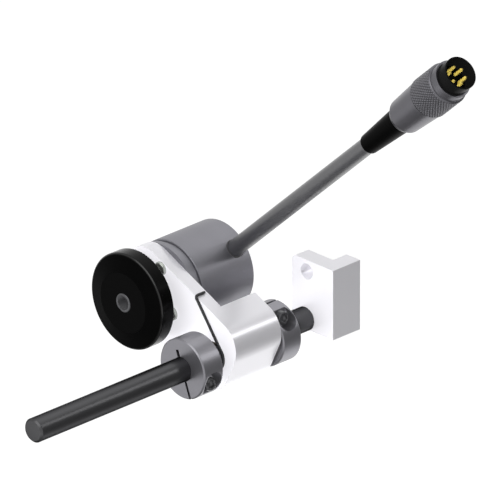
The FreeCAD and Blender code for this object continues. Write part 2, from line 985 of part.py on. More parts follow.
def friction_wheel_hub():
    """The disc with a boss behind it, keyed round its edge for the tyre."""
    bore = shaft_radius + seat_gap
    profile = (
        [(wheel_front, bore)]
        + wheel_key(0)
        + [
            (wheel_rear, wheel_boss_dia / 2),
            (boss_rear, wheel_boss_dia / 2),
            (boss_rear, bore),
        ]
    )
    hole = disc(set_screw_dia / 2 + seat_gap, 0, wheel_boss_dia, X_AXIS)
    hole.translate(Y_AXIS * set_screw_place)
    return on_encoder(turned(profile).cut(hole), shaft_flat_angle)


def friction_tyre():
    """The rubber tyre: a flat tread with tapered sides down to the disc."""
    half_tread = wheel_tread / 2
    radius = wheel_dia / 2
    flank = wheel_flank_dia / 2
    chamfer = wheel_rim_chamfer
    front = wheel_middle - half_tread
    rear = wheel_middle + half_tread
    profile = wheel_key(seat_gap) + [
        (rear, flank),
        (rear, radius - chamfer),
        (rear - chamfer, radius),
        (front + chamfer, radius),
        (front, radius - chamfer),
        (front, flank),
    ]
    return on_encoder(turned(profile))


def wheel_set_screw():
    """The headless screw that holds the wheel on the shaft's flat."""
    inner = shaft_radius - shaft_flat_depth + seat_gap
    outer = wheel_boss_dia / 2 - set_screw_recess
    body = disc(set_screw_dia / 2, inner, outer, X_AXIS)
    socket = hexagon(
        set_screw_socket, outer - set_screw_socket, outer + cut_margin, X_AXIS
    )
    screw = body.cut(socket)
    screw.translate(Y_AXIS * set_screw_place)
    return on_encoder(screw, shaft_flat_angle)


def cable_exit_ring():
    """The thin ring round the cable, held inside the can by its flange."""
    bore = cable_radius + seat_gap
    outer_end = encoder_radius + exit_ring_proud
    return on_cable(
        turned(
            [
                (clamp_end, bore),
                (outer_end, bore),
                (outer_end, exit_ring_radius),
                (exit_flange_end, exit_ring_radius),
                (exit_flange_end, exit_flange_radius),
                (clamp_end, exit_flange_radius),
            ],
            X_AXIS,
        )
    )


def cable_clamp():
    """The sleeve crimped on the cable inside the can, so that it can't be pulled out."""
    bore = cable_radius + seat_gap
    return on_cable(ring(bore, cable_radius + clamp_wall, clamp_start, clamp_end, X_AXIS))


def cable():
    """The round cable, from its tail in the can to its end in the connector."""
    return on_cable(disc(cable_radius, cable_start, relief_end, X_AXIS))


def bend_relief():
    """The tapered rubber sleeve, with a thicker tail held inside the back shell."""
    bore = cable_radius + seat_gap
    return on_cable(
        turned(
            [
                (relief_start, bore),
                (relief_end, bore),
                (relief_end, relief_tail_dia / 2),
                (shell_start + shell_shoulder, relief_tail_dia / 2),
                (shell_start + shell_shoulder, relief_end_dia / 2),
                (shell_start, relief_end_dia / 2),
                (relief_start, relief_start_dia / 2),
            ],
            X_AXIS,
        )
    )


def connector_back_shell():
    """The smooth shell behind the coupling ring, screwed on the sleeve's neck."""
    mouth = relief_end_dia / 2 + seat_gap
    bore = shell_bore_dia / 2
    neck = sleeve_neck_dia / 2 + seat_gap
    return on_cable(
        turned(
            [
                (shell_start, mouth),
                (shell_start + shell_shoulder - seat_gap, mouth),
                (shell_start + shell_shoulder - seat_gap, bore),
                (sleeve_start, bore),
                (sleeve_start, neck),
                (shell_end, neck),
                (shell_end, shell_end_dia / 2),
                (shell_start + shell_shoulder, shell_shoulder_dia / 2),
                (shell_start, shell_start_dia / 2),
            ],
            X_AXIS,
        )
    )


def connector_sleeve():
    """The inner sleeve: it holds the insert, and its shoulder keeps the coupling ring on."""
    bore = sleeve_bore_dia / 2
    neck = sleeve_neck_dia / 2
    return on_cable(
        turned(
            [
                (sleeve_start, bore),
                (insert_start, bore),
                (insert_start, sleeve_shoulder_dia / 2),
                (sleeve_shoulder_start, sleeve_shoulder_dia / 2),
                (sleeve_shoulder_start, neck),
                (sleeve_start, neck),
            ],
            X_AXIS,
        )
    )


def coupling_ring():
    """The knurled ring with its plain nose. Its rear lip turns on the sleeve's neck."""
    lip = sleeve_neck_dia / 2 + end_play
    bore = ring_bore_dia / 2
    outer = ring_dia / 2
    lip_end = ring_start + ring_lip
    body = turned(
        [
            (ring_start, lip),
            (lip_end, lip),
            (lip_end, bore),
            (nose_end, bore),
            (nose_end, ring_nose_dia / 2 - ring_chamfer),
            (nose_end - ring_chamfer, ring_nose_dia / 2),
            (ring_end, ring_nose_dia / 2),
            (ring_end, outer - ring_chamfer),
            (ring_end - ring_chamfer, outer),
            (ring_start + ring_chamfer, outer),
            (ring_start, outer - ring_chamfer),
        ],
        X_AXIS,
    )
    return on_cable(body.common(knurled_space()))


def knurled_space():
    """The space inside the knurl's ridges: a many-sided star over the ring's whole length."""
    crest = ring_dia / 2
    root = crest - knurl_depth
    points = []
    for i in range(2 * knurl_count):
        radius = crest if i % 2 == 0 else root
        turn = math.pi * i / knurl_count
        points.append(
            FreeCAD.Vector(
                ring_start - cut_margin, radius * math.cos(turn), radius * math.sin(turn)
            )
        )
    star = Part.Face(Part.makePolygon(points + points[:1]))
    length = nose_end - ring_start + 2 * cut_margin
    return star.extrude(X_AXIS * length)


def pin_places():
    """The contact pins on their circle, as points across the connector's axis."""
    turns = [
        math.radians(pin_first_angle) + 2 * math.pi * i / pin_count
        for i in range(pin_count)
    ]
    radius = pin_circle_dia / 2
    return [Y_AXIS * radius * math.cos(t) + Z_AXIS * radius * math.sin(t) for t in turns]


def connector_insert():
    """The black insert: a block that holds the pins, and a shroud round them."""
    outer = insert_dia / 2
    tail = sleeve_bore_dia / 2 - seat_gap
    inner = outer - insert_wall
    body = turned(
        [
            (insert_tail, 0),
            (cavity_floor, 0),
            (cavity_floor, inner),
            (insert_end, inner),
            (insert_end, outer),
            (insert_start, outer),
            (insert_start, tail),
            (insert_tail, tail),
        ],
        X_AXIS,
    )
    for place in pin_places():
        hole = disc(
            pin_dia / 2 + seat_gap, insert_tail - cut_margin, insert_end, X_AXIS
        )
        hole.translate(place)
        body = body.cut(hole)
    return on_cable(body)


def contact_pin(place):
    """One round contact pin, from its solder tail to its rounded tip."""
    radius = pin_dia / 2
    tip = pin_tip_chamfer
    pin = turned(
        [
            (insert_tail - pin_tail, 0),
            (insert_tail - pin_tail, radius),
            (pin_tip - tip, radius),
            (pin_tip, radius - tip),
            (pin_tip, 0),
        ],
        X_AXIS,
    )
    pin.translate(place)
    return on_cable(pin)


def all_pieces():
    """Every piece under its own name."""
    rear_bearing = rear_bearing_front
    pieces = {
        "guide_rod": guide_rod(),
        "mounting_bracket": mounting_bracket(),
        "bracket_screw": bracket_screw(),
        "front_collar": as_front_collar(collar_body(front_collar_width)),
        "front_collar_screw": as_front_collar(collar_clamp_screw()),
        "rear_collar": as_rear_collar(collar_body(rear_collar_width)),
        "rear_collar_screw": as_rear_collar(collar_clamp_screw()),
        "torsion_spring": torsion_spring(),
        "swing_arm": swing_arm(),
        "front_bush": front_bush(),
        "rear_bush": rear_bush(),
        "encoder_flange": encoder_flange(),
        "encoder_housing": encoder_housing(),
        "flange_o_ring": flange_o_ring(),
        "front_bearing_outer_ring": bearing_outer_ring(front_bearing_front),
        "front_bearing_balls": bearing_balls(front_bearing_front),
        "front_bearing_inner_ring": bearing_inner_ring(front_bearing_front),
        "rear_bearing_outer_ring": bearing_outer_ring(rear_bearing),
        "rear_bearing_balls": bearing_balls(rear_bearing),
        "rear_bearing_inner_ring": bearing_inner_ring(rear_bearing),
        "shaft_seal": shaft_seal(),
        "encoder_shaft": encoder_shaft(),
        "shaft_circlip": shaft_circlip(),
        "code_disc_hub": code_disc_hub(),
        "code_disc": code_disc_plate(),
        "light_source": light_source(),
        "photo_sensor": photo_sensor(),
        "circuit_board": circuit_board(),
        "board_posts": board_posts(),
        "board_screws": board_screws(),
        "friction_wheel_hub": friction_wheel_hub(),
        "friction_tyre": friction_tyre(),
        "wheel_set_screw": wheel_set_screw(),
        "cable_exit_ring": cable_exit_ring(),
        "cable_clamp": cable_clamp(),
        "cable": cable(),
        "bend_relief": bend_relief(),
        "connector_back_shell": connector_back_shell(),
        "connector_sleeve": connector_sleeve(),
        "coupling_ring": coupling_ring(),
        "connector_insert": connector_insert(),
    }
    for i, (along, across) in enumerate(flange_screw_places(), 1):
        pieces[f"encoder_screw_{i}"] = flange_screw(along, across)
    for i, place in enumerate(pin_places(), 1):
        pieces[f"contact_pin_{i}"] = contact_pin(place)
    return pieces


def save(name, shape):
    """Writes one piece: a single solid, or a group of separate solids."""
    solids = shape.Solids
    piece = solids[0] if len(solids) == 1 else Part.makeCompound(solids)
    if not solids or not piece.isValid():
        raise ValueError(f"{name} is not a valid solid")
    piece.exportStep(os.path.join("parts", f"{name}.step"))


os.makedirs("parts", exist_ok=True)
for piece_name, piece_shape in all_pieces().items():
    save(piece_name, piece_shape)
print("pieces", len(os.listdir("parts")))
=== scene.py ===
import json
import math

import bmesh
import bpy
from mathutils import Matrix, Vector

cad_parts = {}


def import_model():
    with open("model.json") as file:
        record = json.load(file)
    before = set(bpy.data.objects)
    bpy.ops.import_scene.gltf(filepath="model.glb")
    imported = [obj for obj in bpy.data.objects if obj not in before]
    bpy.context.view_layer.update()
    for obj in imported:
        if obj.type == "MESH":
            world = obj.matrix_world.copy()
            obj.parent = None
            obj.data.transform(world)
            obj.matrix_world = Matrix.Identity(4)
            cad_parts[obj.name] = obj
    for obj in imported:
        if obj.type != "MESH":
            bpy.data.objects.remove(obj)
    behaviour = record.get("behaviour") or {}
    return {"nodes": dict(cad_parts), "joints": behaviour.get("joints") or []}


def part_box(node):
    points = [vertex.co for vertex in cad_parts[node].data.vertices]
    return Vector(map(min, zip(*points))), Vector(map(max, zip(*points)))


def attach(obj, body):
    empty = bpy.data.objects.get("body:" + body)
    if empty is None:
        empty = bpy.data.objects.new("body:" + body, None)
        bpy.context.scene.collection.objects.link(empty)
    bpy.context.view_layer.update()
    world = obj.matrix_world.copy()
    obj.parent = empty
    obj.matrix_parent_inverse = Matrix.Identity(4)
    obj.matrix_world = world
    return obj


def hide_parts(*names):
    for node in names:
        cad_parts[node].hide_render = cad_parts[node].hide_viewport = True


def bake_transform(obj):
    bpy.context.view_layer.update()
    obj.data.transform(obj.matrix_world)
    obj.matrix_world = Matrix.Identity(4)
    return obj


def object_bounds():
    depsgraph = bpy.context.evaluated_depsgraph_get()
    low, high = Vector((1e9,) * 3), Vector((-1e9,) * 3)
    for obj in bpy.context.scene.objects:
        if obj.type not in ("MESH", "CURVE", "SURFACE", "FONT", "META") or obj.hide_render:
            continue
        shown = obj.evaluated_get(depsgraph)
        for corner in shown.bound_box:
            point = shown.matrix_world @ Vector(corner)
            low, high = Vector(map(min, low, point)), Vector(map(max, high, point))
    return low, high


# Friction wheel encoder: the looks of every piece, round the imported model.
# Sizes are in millimetres and are turned into metres where a piece is placed.

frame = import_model()
cad_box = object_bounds()
MM = 0.001
Y_AXIS = Vector((0, 1, 0))
UPRIGHT = Matrix.Rotation(math.pi / 2, 4, "X")       # local Y to local Z
SIDEWAYS = Matrix.Rotation(-math.pi / 2, 4, "Z")     # local Y to local X

# The three axes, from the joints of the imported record
joints = {joint["name"]: joint for joint in frame["joints"]}
ROD_POINT = Vector(joints["arm_swing"]["pos_m"])
ENCODER_POINT = Vector(joints["wheel_spin"]["pos_m"])
CABLE_LINE = Vector(joints["coupling_ring_turn"]["axis"]).normalized()
CABLE_POINT = Vector(joints["coupling_ring_turn"]["pos_m"])
arm_rise = math.atan2(ENCODER_POINT.z - ROD_POINT.z, ROD_POINT.x - ENCODER_POINT.x)

# Camera, from the photograph
VIEW_AZIMUTH = 45.33
VIEW_ELEVATION = 24.51
VIEW_TARGET = Vector((-0.14, -31.1, 19.18)) * MM
VIEW_WIDTH = 195.54 * MM
LENS = 1700.0
SENSOR = 36.0
CLIP = (0.1, 60.0)

# Fineness of the meshes
ROUND_STEPS = 160
SMALL_STEPS = 72
CORNER_STEPS = 3
CORNER_SHARE = 0.4     # a rounding takes up no more than this of the shorter side
EDGE = 0.15            # rounding of a machined edge
FINE_EDGE = 0.06
BLOCK_EDGE = 0.3       # of the two light blocks
SHARP = 35.0           # edges that turn by more degrees than this are rounded
STEEP = 50.0           # the same, for small pieces
MERGE = 0.002          # points nearer than this become one after a cut
FLAT_WEIGHT = 80       # how much the large faces set the shading of their edges


def plane_turn(degrees):
    """A turn about Y, from +X towards +Z."""
    t = math.radians(degrees)
    c = math.cos(t)
    s = math.sin(t)
    return Matrix(((c, 0, -s, 0), (0, 1, 0, 0), (s, 0, c, 0), (0, 0, 0, 1)))


def round_axis(point, turn, y):
    """Local millimetres, with Y along an axis in Y through the point."""
    start = Vector((point.x, y * MM, point.z))
    return Matrix.Translation(start) @ plane_turn(turn) @ Matrix.Scale(MM, 4)


def along_rod(turn=0.0, y=0.0):
    """Local millimetres round the guide rod."""
    return round_axis(ROD_POINT, turn, y)


def along_encoder(turn=0.0, y=0.0):
    """Local millimetres round the encoder's axis."""
    return round_axis(ENCODER_POINT, turn, y)


def along_arm():
    """Local millimetres with X from the encoder to the rod, which is at the origin."""
    return along_rod(-math.degrees(arm_rise))


def along_cable():
    """Local millimetres with Y along the cable's line, from the encoder's axis on."""
    across = Vector((0, -1, 0))
    up = across.cross(CABLE_LINE)
    turn = Matrix((across, CABLE_LINE, up)).transposed().to_4x4()
    start = Vector((ENCODER_POINT.x, CABLE_POINT.y, ENCODER_POINT.z))
    return Matrix.Translation(start) @ turn @ Matrix.Scale(MM, 4)


def reach(node, place):
    """A node's lowest and highest place along the axis and its radii, in local millimetres."""
    back = place.inverted()
    points = [back @ v.co for v in frame["nodes"][node].data.vertices]
    places = [p.y for p in points]
    radii = [math.hypot(p.x, p.z) for p in points]
    return min(places), max(places), min(radii), max(radii)


def placed(name, data):
    """A new object in the scene."""
    added = bpy.data.objects.new(name, data)
    bpy.context.scene.collection.objects.link(added)
    return added


# Meshes

def round_turns(count):
    """The turns of so many points round a circle, in radians."""
    return [2 * math.pi * k / count for k in range(count)]


def bend(start, corner, end, steps):
    """Points of a smooth bend from one line to another, near their corner."""
    shares = [k / steps for k in range(steps + 1)]
    return [start * (1 - t) ** 2 + corner * 2 * t * (1 - t) + end * t * t for t in shares]


def rounded(profile, size, steps=CORNER_STEPS):
    """The same closed outline with each corner rounded by a short curve."""
    points = []
    count = len(profile)
    for i, corner in enumerate(profile):
        here = Vector(corner)
        before = Vector(profile[i - 1]) - here
        after = Vector(profile[(i + 1) % count]) - here
        if here.y <= 0 or before.length == 0 or after.length == 0:
            points.append(here)
            continue
        room = min(size, CORNER_SHARE * min(before.length, after.length))
        start = here + before.normalized() * room
        points += bend(start, here, here + after.normalized() * room, steps)
    return points


def joined(bm, first, second):
    """Adds the faces between two rings of points. Either may be a single point on the axis."""
    count = max(len(first), len(second))
    for k in range(count if count > 1 else 0):
        n = (k + 1) % count
        corners = [first[k % len(first)], first[n % len(first)]]
        corners += [second[n % len(second)], second[k % len(second)]]
        bm.faces.new(list(dict.fromkeys(corners)))


def spun(bm, profile, steps):
    """Adds the closed (along, radius) outline, turned about the local Y axis."""
    rings = []
    for along, radius in profile:
        if radius <= 0:
            rings.append([bm.verts.new((0, along, 0))])
            continue
        points = [(radius * math.cos(t), along, radius * math.sin(t)) for t in round_turns(steps)]
        rings.append([bm.verts.new(point) for point in points])
    for first, second in zip(rings, rings[1:] + rings[:1]):
        joined(bm, first, second)


def prism(bm, outline, start, end):
    """Adds a straight prism along Y with a (x, z) outline."""
    front = [bm.verts.new((x, start, z)) for x, z in outline]
    back = [bm.verts.new((x, end, z)) for x, z in outline]
    count = len(outline)
    bm.faces.new(front)
    bm.faces.new(back[::-1])
    for i in range(count):
        n = (i + 1) % count
        bm.faces.new((front[i], back[i], back[n], front[n]))


def round_rectangle(low_x, high_x, low_z, high_z, radii, steps=12):
    """Outline points of a rectangle with its own radius at each corner, from the low corner on."""
    points = []
    for corner, radius in enumerate(radii):
        x = high_x - radius if corner in (1, 2) else low_x + radius
        z = high_z - radius if corner in (2, 3) else low_z + radius
        for k in range(steps + 1 if radius else 1):
            t = math.radians(180 + 90 * (corner + k / steps))
            points.append((x + radius * math.cos(t), z + radius * math.sin(t)))
    return points


def domed(rim, top, radius, steps):
    """Outline points of a dome, from its rim to its top on the axis."""
    turns = [math.pi / 2 * k / steps for k in range(steps)]
    return [(rim + (top - rim) * math.sin(t), radius * math.cos(t)) for t in turns] + [(top, 0)]


def built(name, build):
    """A mesh built by a function."""
    bm = bmesh.new()
    build(bm)
    mesh = bpy.data.meshes.new(name)
    bm.to_mesh(mesh)
    bm.free()
    return mesh


def made(name, build, place):
    """A closed piece built by a function in local millimetres, then set in its place."""
    def closed(bm):
        build(bm)
        bmesh.ops.recalc_face_normals(bm, faces=bm.faces)

    mesh = built(name, closed)
    mesh.transform(place)
    return placed(name, mesh)


def turned(name, profile, place, edge=EDGE, steps=ROUND_STEPS):
    """A turned piece from its closed (along, radius) outline."""
    outline = rounded(profile, edge) if edge else profile
    return made(name, lambda bm: spun(bm, outline, steps), place)


def box_tool(low, high, place):
    """A cutting tool that is a box from its lowest to its highest corner."""
    outline = [(low[0], low[2]), (high[0], low[2]), (high[0], high[2]), (low[0], high[2])]
    return made("tool", lambda bm: prism(bm, outline, low[1], high[1]), place)


def round_tool(radius, start, end, place, steps=SMALL_STEPS):
    """A round cutting tool along the local Y axis."""
    return turned("tool", [(start, 0), (end, 0), (end, radius), (start, radius)], place, 0, steps)


def hexagon_tool(across, start, end, place):
    """A six-sided cutting tool along the local Y axis."""
    corner = across / 2 / math.cos(math.pi / 6)
    outline = [(corner * math.cos(t), corner * math.sin(t)) for t in round_turns(6)]
    return made("tool", lambda bm: prism(bm, outline, start, end), place)


def modified(piece, kind, **settings):
    """Applies one modifier to the piece's mesh."""
    modifier = piece.modifiers.new(kind, kind)
    for key, value in settings.items():
        setattr(modifier, key, value)
    bpy.context.view_layer.update()
    graph = bpy.context.evaluated_depsgraph_get()
    mesh = bpy.data.meshes.new_from_object(piece.evaluated_get(graph))
    piece.modifiers.clear()
    piece.data = mesh


def cut(piece, *tools):
    """Takes the tools' shapes away from the piece."""
    for cutter in tools:
        modified(piece, "BOOLEAN", operation="DIFFERENCE", solver="EXACT", object=cutter)
        bpy.data.objects.remove(cutter)
    bm = bmesh.new()
    bm.from_mesh(piece.data)
    bmesh.ops.remove_doubles(bm, verts=bm.verts, dist=MERGE * MM)
    bmesh.ops.dissolve_degenerate(bm, edges=bm.edges, dist=MERGE * MM)
    bm.to_mesh(piece.data)
    bm.free()


def softened(piece, width, angle=SHARP, segments=2):
    """Rounds the piece's sharp edges a little."""
    modified(
        piece, "BEVEL", width=width * MM, segments=segments, limit_method="ANGLE",
        angle_limit=math.radians(angle), use_clamp_overlap=True,
    )


def finished(piece, body, material, node):
    """Shading, material and body, and hides the node that the piece stands for."""
    piece.data.shade_smooth()
    modified(piece, "WEIGHTED_NORMAL", mode="FACE_AREA", weight=FLAT_WEIGHT, keep_sharp=False)
    piece.data.materials.clear()
    piece.data.materials.append(material)
    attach(piece, body)
    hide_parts(node)
    return piece


def second_material(piece, place, material, chosen):
    """Gives another material to the faces chosen by their place along and from the local Y axis."""
    piece.data.materials.append(material)
    back = place.inverted()
    for polygon in piece.data.polygons:
        local = back @ polygon.center
        if chosen(local.y, math.hypot(local.x, local.z)):
            polygon.material_index = len(piece.data.materials) - 1


# Materials

NOISE_RANGE = (0.05, 0.95)     # no noise value lies outside


class Nodes:
    """The nodes of a material or a world, added one after the other."""

    def __init__(self, tree):
        self.tree = tree

    def node(self, kind, inputs=(), **settings):
        """One node, with numbers or links on its inputs."""
        added = self.tree.nodes.new(kind)
        for key, value in settings.items():
            setattr(added, key, value)
        for key, value in dict(inputs).items():
            if isinstance(value, bpy.types.NodeSocket):
                self.tree.links.new(value, added.inputs[key])
            else:
                added.inputs[key].default_value = value
        return added

    def maths(self, operation, first, second):
        """Two values made into one."""
        return self.node("ShaderNodeMath", {0: first, 1: second}, operation=operation).outputs[0]

    def vectors(self, operation, inputs, output=0):
        """Vectors made into one, or into a value."""
        return self.node("ShaderNodeVectorMath", inputs, operation=operation).outputs[output]

    def mapped(self, value, before, after):
        """A value carried from one range to another."""
        inputs = {"Value": value, "From Min": before[0], "From Max": before[1],
                  "To Min": after[0], "To Max": after[1]}
        return self.node("ShaderNodeMapRange", inputs).outputs[0]

    def ramp(self, value, stops, interpolation="LINEAR"):
        """A colour by a value, from rising (place, colour) stops."""
        ramp = self.node("ShaderNodeValToRGB", {"Fac": value})
        ramp.color_ramp.interpolation = interpolation
        elements = ramp.color_ramp.elements
        while len(elements) < len(stops):
            elements.new(0.5)
        for element, (place, _) in zip(elements, stops):
            element.position = place
        for element, (_, color) in zip(elements, stops):
            element.color = (*color, 1)
        return ramp.outputs["Color"]

    def seen_rays(self):
        """1 for rays from the camera, from gloss and through glass, 0 for the rest."""
        path = self.node("ShaderNodeLightPath").outputs
        total = path["Is Camera Ray"]
        for name in ("Is Glossy Ray", "Is Transmission Ray"):
            total = self.node(
                "ShaderNodeMath", {0: total, 1: path[name]}, operation="ADD", use_clamp=True
            ).outputs[0]
        return total


class Shader(Nodes):
    """A material."""

    def __init__(self, name):
        self.material = bpy.data.materials.new(name)
        self.material.use_nodes = True
        super().__init__(self.material.node_tree)
        self.sockets = self.tree.nodes["Principled BSDF"].inputs

    def set(self, name, value):
        """A number, a colour or a link on one of the shader's own sockets."""
        if isinstance(value, bpy.types.NodeSocket):
            self.tree.links.new(value, self.sockets[name])
        else:
            self.sockets[name].default_value = value

    def place(self):
        """Where the point is, in metres, in the piece's own frame."""
        return self.node("ShaderNodeTexCoord").outputs["Object"]

    def lathe_place(self, axis, scale=1.0):
        """The point's place along an axis and its distance from it, as a lathe's marks run."""
        point, line = axis
        offset = self.vectors("SUBTRACT", {0: self.place(), 1: point})
        along = self.vectors("DOT_PRODUCT", {0: offset, 1: line}, "Value")
        straight = self.vectors("SCALE", {0: line, "Scale": along})
        radial = self.vectors("SUBTRACT", {0: offset, 1: straight})
        radius = self.vectors("LENGTH", {0: radial}, "Value")
        return self.node("ShaderNodeCombineXYZ", {
            "X": self.maths("MULTIPLY", along, scale), "Y": self.maths("MULTIPLY", radius, scale),
        }).outputs[0]

    def radius(self, axis):
        """The point's distance from an axis, in metres."""
        return self.node("ShaderNodeSeparateXYZ", {0: self.lathe_place(axis)}).outputs["Y"]

    def noise(self, vector, scale=1.0, detail=3.0):
        """A soft noise between 0 and 1."""
        inputs = {"Vector": vector, "Scale": scale, "Detail": detail}
        return self.node("ShaderNodeTexNoise", inputs).outputs["Fac"]

    def color(self, value, color, spread):
        """The colour, a little darker and lighter by the value."""
        shades = [[min(1.0, c * (1 + side * spread)) for c in color] for side in (-1, 1)]
        self.set("Base Color", self.ramp(value, list(zip(NOISE_RANGE, shades))))

    def bump(self, value, height):
        """Fine relief, as deep as the height in millimetres."""
        inputs = {"Height": value, "Strength": 1.0, "Distance": height * MM}
        self.set("Normal", self.node("ShaderNodeBump", inputs).outputs[0])

    def rough(self, value, roughness, spread):
        """Roughness, a little lower and higher by the value."""
        ends = (roughness * (1 - spread), roughness * (1 + spread))
        self.set("Roughness", self.mapped(value, NOISE_RANGE, ends))

    def plain(self, metallic=0.0, ior=1.5, edge=1.0, through=0.0):
        """Metal or not, how strongly it reflects in front and seen edge on, and its clearness."""
        self.set("Metallic", metallic)
        self.set("IOR", ior)
        self.set("Specular Tint", (*grey(edge), 1))
        self.set("Transmission Weight", through)


def grey(shade):
    """An even grey."""
    return (shade, shade, shade)


def coated(name, color, roughness, grain, relief, spread, **settings):
    """An even, satin surface with a fine, soft relief."""
    shader = Shader(name)
    fine = shader.noise(shader.place(), grain, 2.0)
    broad = shader.noise(shader.place(), grain / 14)
    shader.color(broad, color, spread)
    shader.rough(broad, roughness, 0.03)
    shader.bump(fine, relief)
    shader.plain(**settings)
    return shader.material


def lathed(name, color, roughness, axis, marks=3200.0, relief=0.002, spread=0.08, **settings):
    """Turned, ground or moulded round, with fine rings round its axis."""
    shader = Shader(name)
    rings = shader.noise(shader.lathe_place(axis, marks))
    broad = shader.noise(shader.place(), 90.0)
    shader.color(rings, color, spread)
    shader.rough(broad, roughness, 0.15)
    shader.bump(rings, relief)
    shader.plain(**settings)
    return shader.material


def bored(name, color, bore_painted_light, roughness, axis, bore, marks=3200.0):
    """Dark turned metal; its bore, to the radius in millimetres, is paler and less metallic:
    painted light.
    """
    shader = Shader(name)
    outside = shader.maths("GREATER_THAN", shader.radius(axis), bore * MM)
    rings = shader.noise(shader.lathe_place(axis, marks))
    shader.set("Base Color", shader.ramp(outside, [(0, bore_painted_light), (1, color)]))
    shader.set("Metallic", shader.mapped(outside, (0, 1), (0.1, 0.9)))
    shader.rough(rings, roughness, 0.15)
    shader.bump(rings, 0.001)
    return shader.material


def knurled(name, roughness, axis, shades):
    """Metal painted dark in a knurl's grooves and bright near its points: painted shade in the
    grooves.
    """
    shader = Shader(name)
    radii = [radius * MM for radius, _ in shades]
    stops = [(end, (shade, shade * 0.985, shade * 1.08)) for end, (_, shade) in enumerate(shades)]
    share = shader.mapped(shader.radius(axis), radii, (0, 1))
    shader.set("Base Color", shader.ramp(share, stops))
    shader.rough(shader.noise(shader.place(), 300.0), roughness, 0.15)
    shader.plain(metallic=0.9, edge=0.8)
    return shader.material


def moulded(name, color, roughness, grain=1500.0, relief=0.004, spread=0.06, **settings):
    """Moulded plastic or rubber with a fine, even grain."""
    shader = Shader(name)
    fine = shader.noise(shader.place(), grain, 4.0)
    broad = shader.noise(shader.place(), 120.0, 2.0)
    shader.color(broad, color, spread)
    shader.rough(fine, roughness, 0.1)
    shader.bump(fine, relief)
    shader.plain(**settings)
    return shader.material


ROD_AXIS = (ROD_POINT, Y_AXIS)
ENCODER_AXIS = (ENCODER_POINT, Y_AXIS)
CABLE_AXIS = (CABLE_POINT, CABLE_LINE)

LIGHT_METAL = coated("light_metal", (0.86, 0.852, 0.89), 0.28, 420, 0.0006, 0.004, metallic=0.16)
ROD_STEEL = lathed("rod_steel", (0.075, 0.075, 0.078), 0.3, ROD_AXIS, edge=0.2, metallic=0.9)
COLLAR_STEEL = lathed("collar_steel", (0.24, 0.237, 0.257), 0.34, ROD_AXIS, edge=0.7, metallic=0.9)
SCREW_STEEL = coated("screw_steel", (0.09, 0.09, 0.095), 0.35, 5200, 0.002, 0.1, metallic=0.85)
ZINC = coated("zinc", (0.42, 0.44, 0.41), 0.26, 3000, 0.001, 0.08, metallic=0.92)
SPRING_STEEL = coated("spring_steel", (0.035, 0.035, 0.037), 0.38, 6000, 0.001, 0.1, metallic=0.7)
BUSH_BRONZE = lathed("bush_bronze", (0.17, 0.14, 0.10), 0.4, ROD_AXIS, metallic=0.85)
SHELL_GREY = lathed(
    "shell_grey", (0.215, 0.213, 0.233), 0.48, ENCODER_AXIS, 1800, 0.0006, 0.03, edge=0.8,
    metallic=0.9,
)
# The shaft's bore gets a paler colour than its steel: painted light inside the hole.
SHAFT_STEEL = bored(
    "shaft_steel", (0.085, 0.085, 0.09), (0.12, 0.12, 0.125), 0.3, ENCODER_AXIS, 2.98
)
BEARING_STEEL = lathed("bearing_steel", (0.55, 0.55, 0.56), 0.2, ENCODER_AXIS, metallic=1.0)
WHEEL_BLACK = lathed("wheel_black", grey(0.0012), 0.3, ENCODER_AXIS, 1500, 0.0008, 0.1, ior=1.07)
TYRE_RUBBER = lathed("tyre_rubber", grey(0.0008), 0.2, ENCODER_AXIS, 2400, 0.0003, 0.1, ior=1.14)
FLANK_RUBBER = lathed("flank_rubber", grey(0.001), 0.4, ENCODER_AXIS, 2400, 0.001, 0.1, ior=1.065)
EDGE_RUBBER = lathed("edge_rubber", grey(0.002), 0.25, ENCODER_AXIS, 2400, 0.0003, 0.1, ior=1.45)
SEAL_RUBBER = moulded("seal_rubber", grey(0.02), 0.6)
CABLE_JACKET = moulded("cable_jacket", (0.018, 0.018, 0.021), 0.38, 900, 0.0003, 0.04, ior=2.0)
RELIEF_RUBBER = moulded("relief_rubber", grey(0.001), 0.35, 1400, 0.001, ior=1.07)
EXIT_RUBBER = moulded("exit_rubber", (0.05, 0.05, 0.053), 0.4, ior=1.7)
CONNECTOR_METAL = lathed(
    "connector_metal", (0.125, 0.123, 0.135), 0.33, CABLE_AXIS, 2400, 0.0006, 0.04, edge=0.8,
    metallic=0.9,
)
INSERT_PLASTIC = moulded("insert_plastic", grey(0.006), 0.3, 1600, 0.0006, ior=1.08)
GOLD = coated("gold", (0.78, 0.60, 0.12), 0.3, 5000, 0.0005, 0.06, metallic=0.15)
CLAMP_STEEL = coated("clamp_steel", grey(0.4), 0.35, 3000, 0.002, 0.06, metallic=1.0)
DISC_HUB = lathed("disc_hub", grey(0.5), 0.3, ENCODER_AXIS, metallic=1.0)
BOARD_GREEN = moulded("board_green", (0.01, 0.09, 0.03), 0.35, 2200, 0.004, 0.2)
CHIP_BLACK = moulded("chip_black", (0.012, 0.012, 0.013), 0.5)
POST_BRASS = coated("post_brass", (0.6, 0.42, 0.16), 0.3, 4000, 0.002, 0.06, metallic=1.0)
CODE_GLASS = moulded("code_glass", (0.75, 0.82, 0.82), 0.06, 900, 0.0, 0.02, through=0.8)


# The frame that stays still: rod, bracket, collars and spring

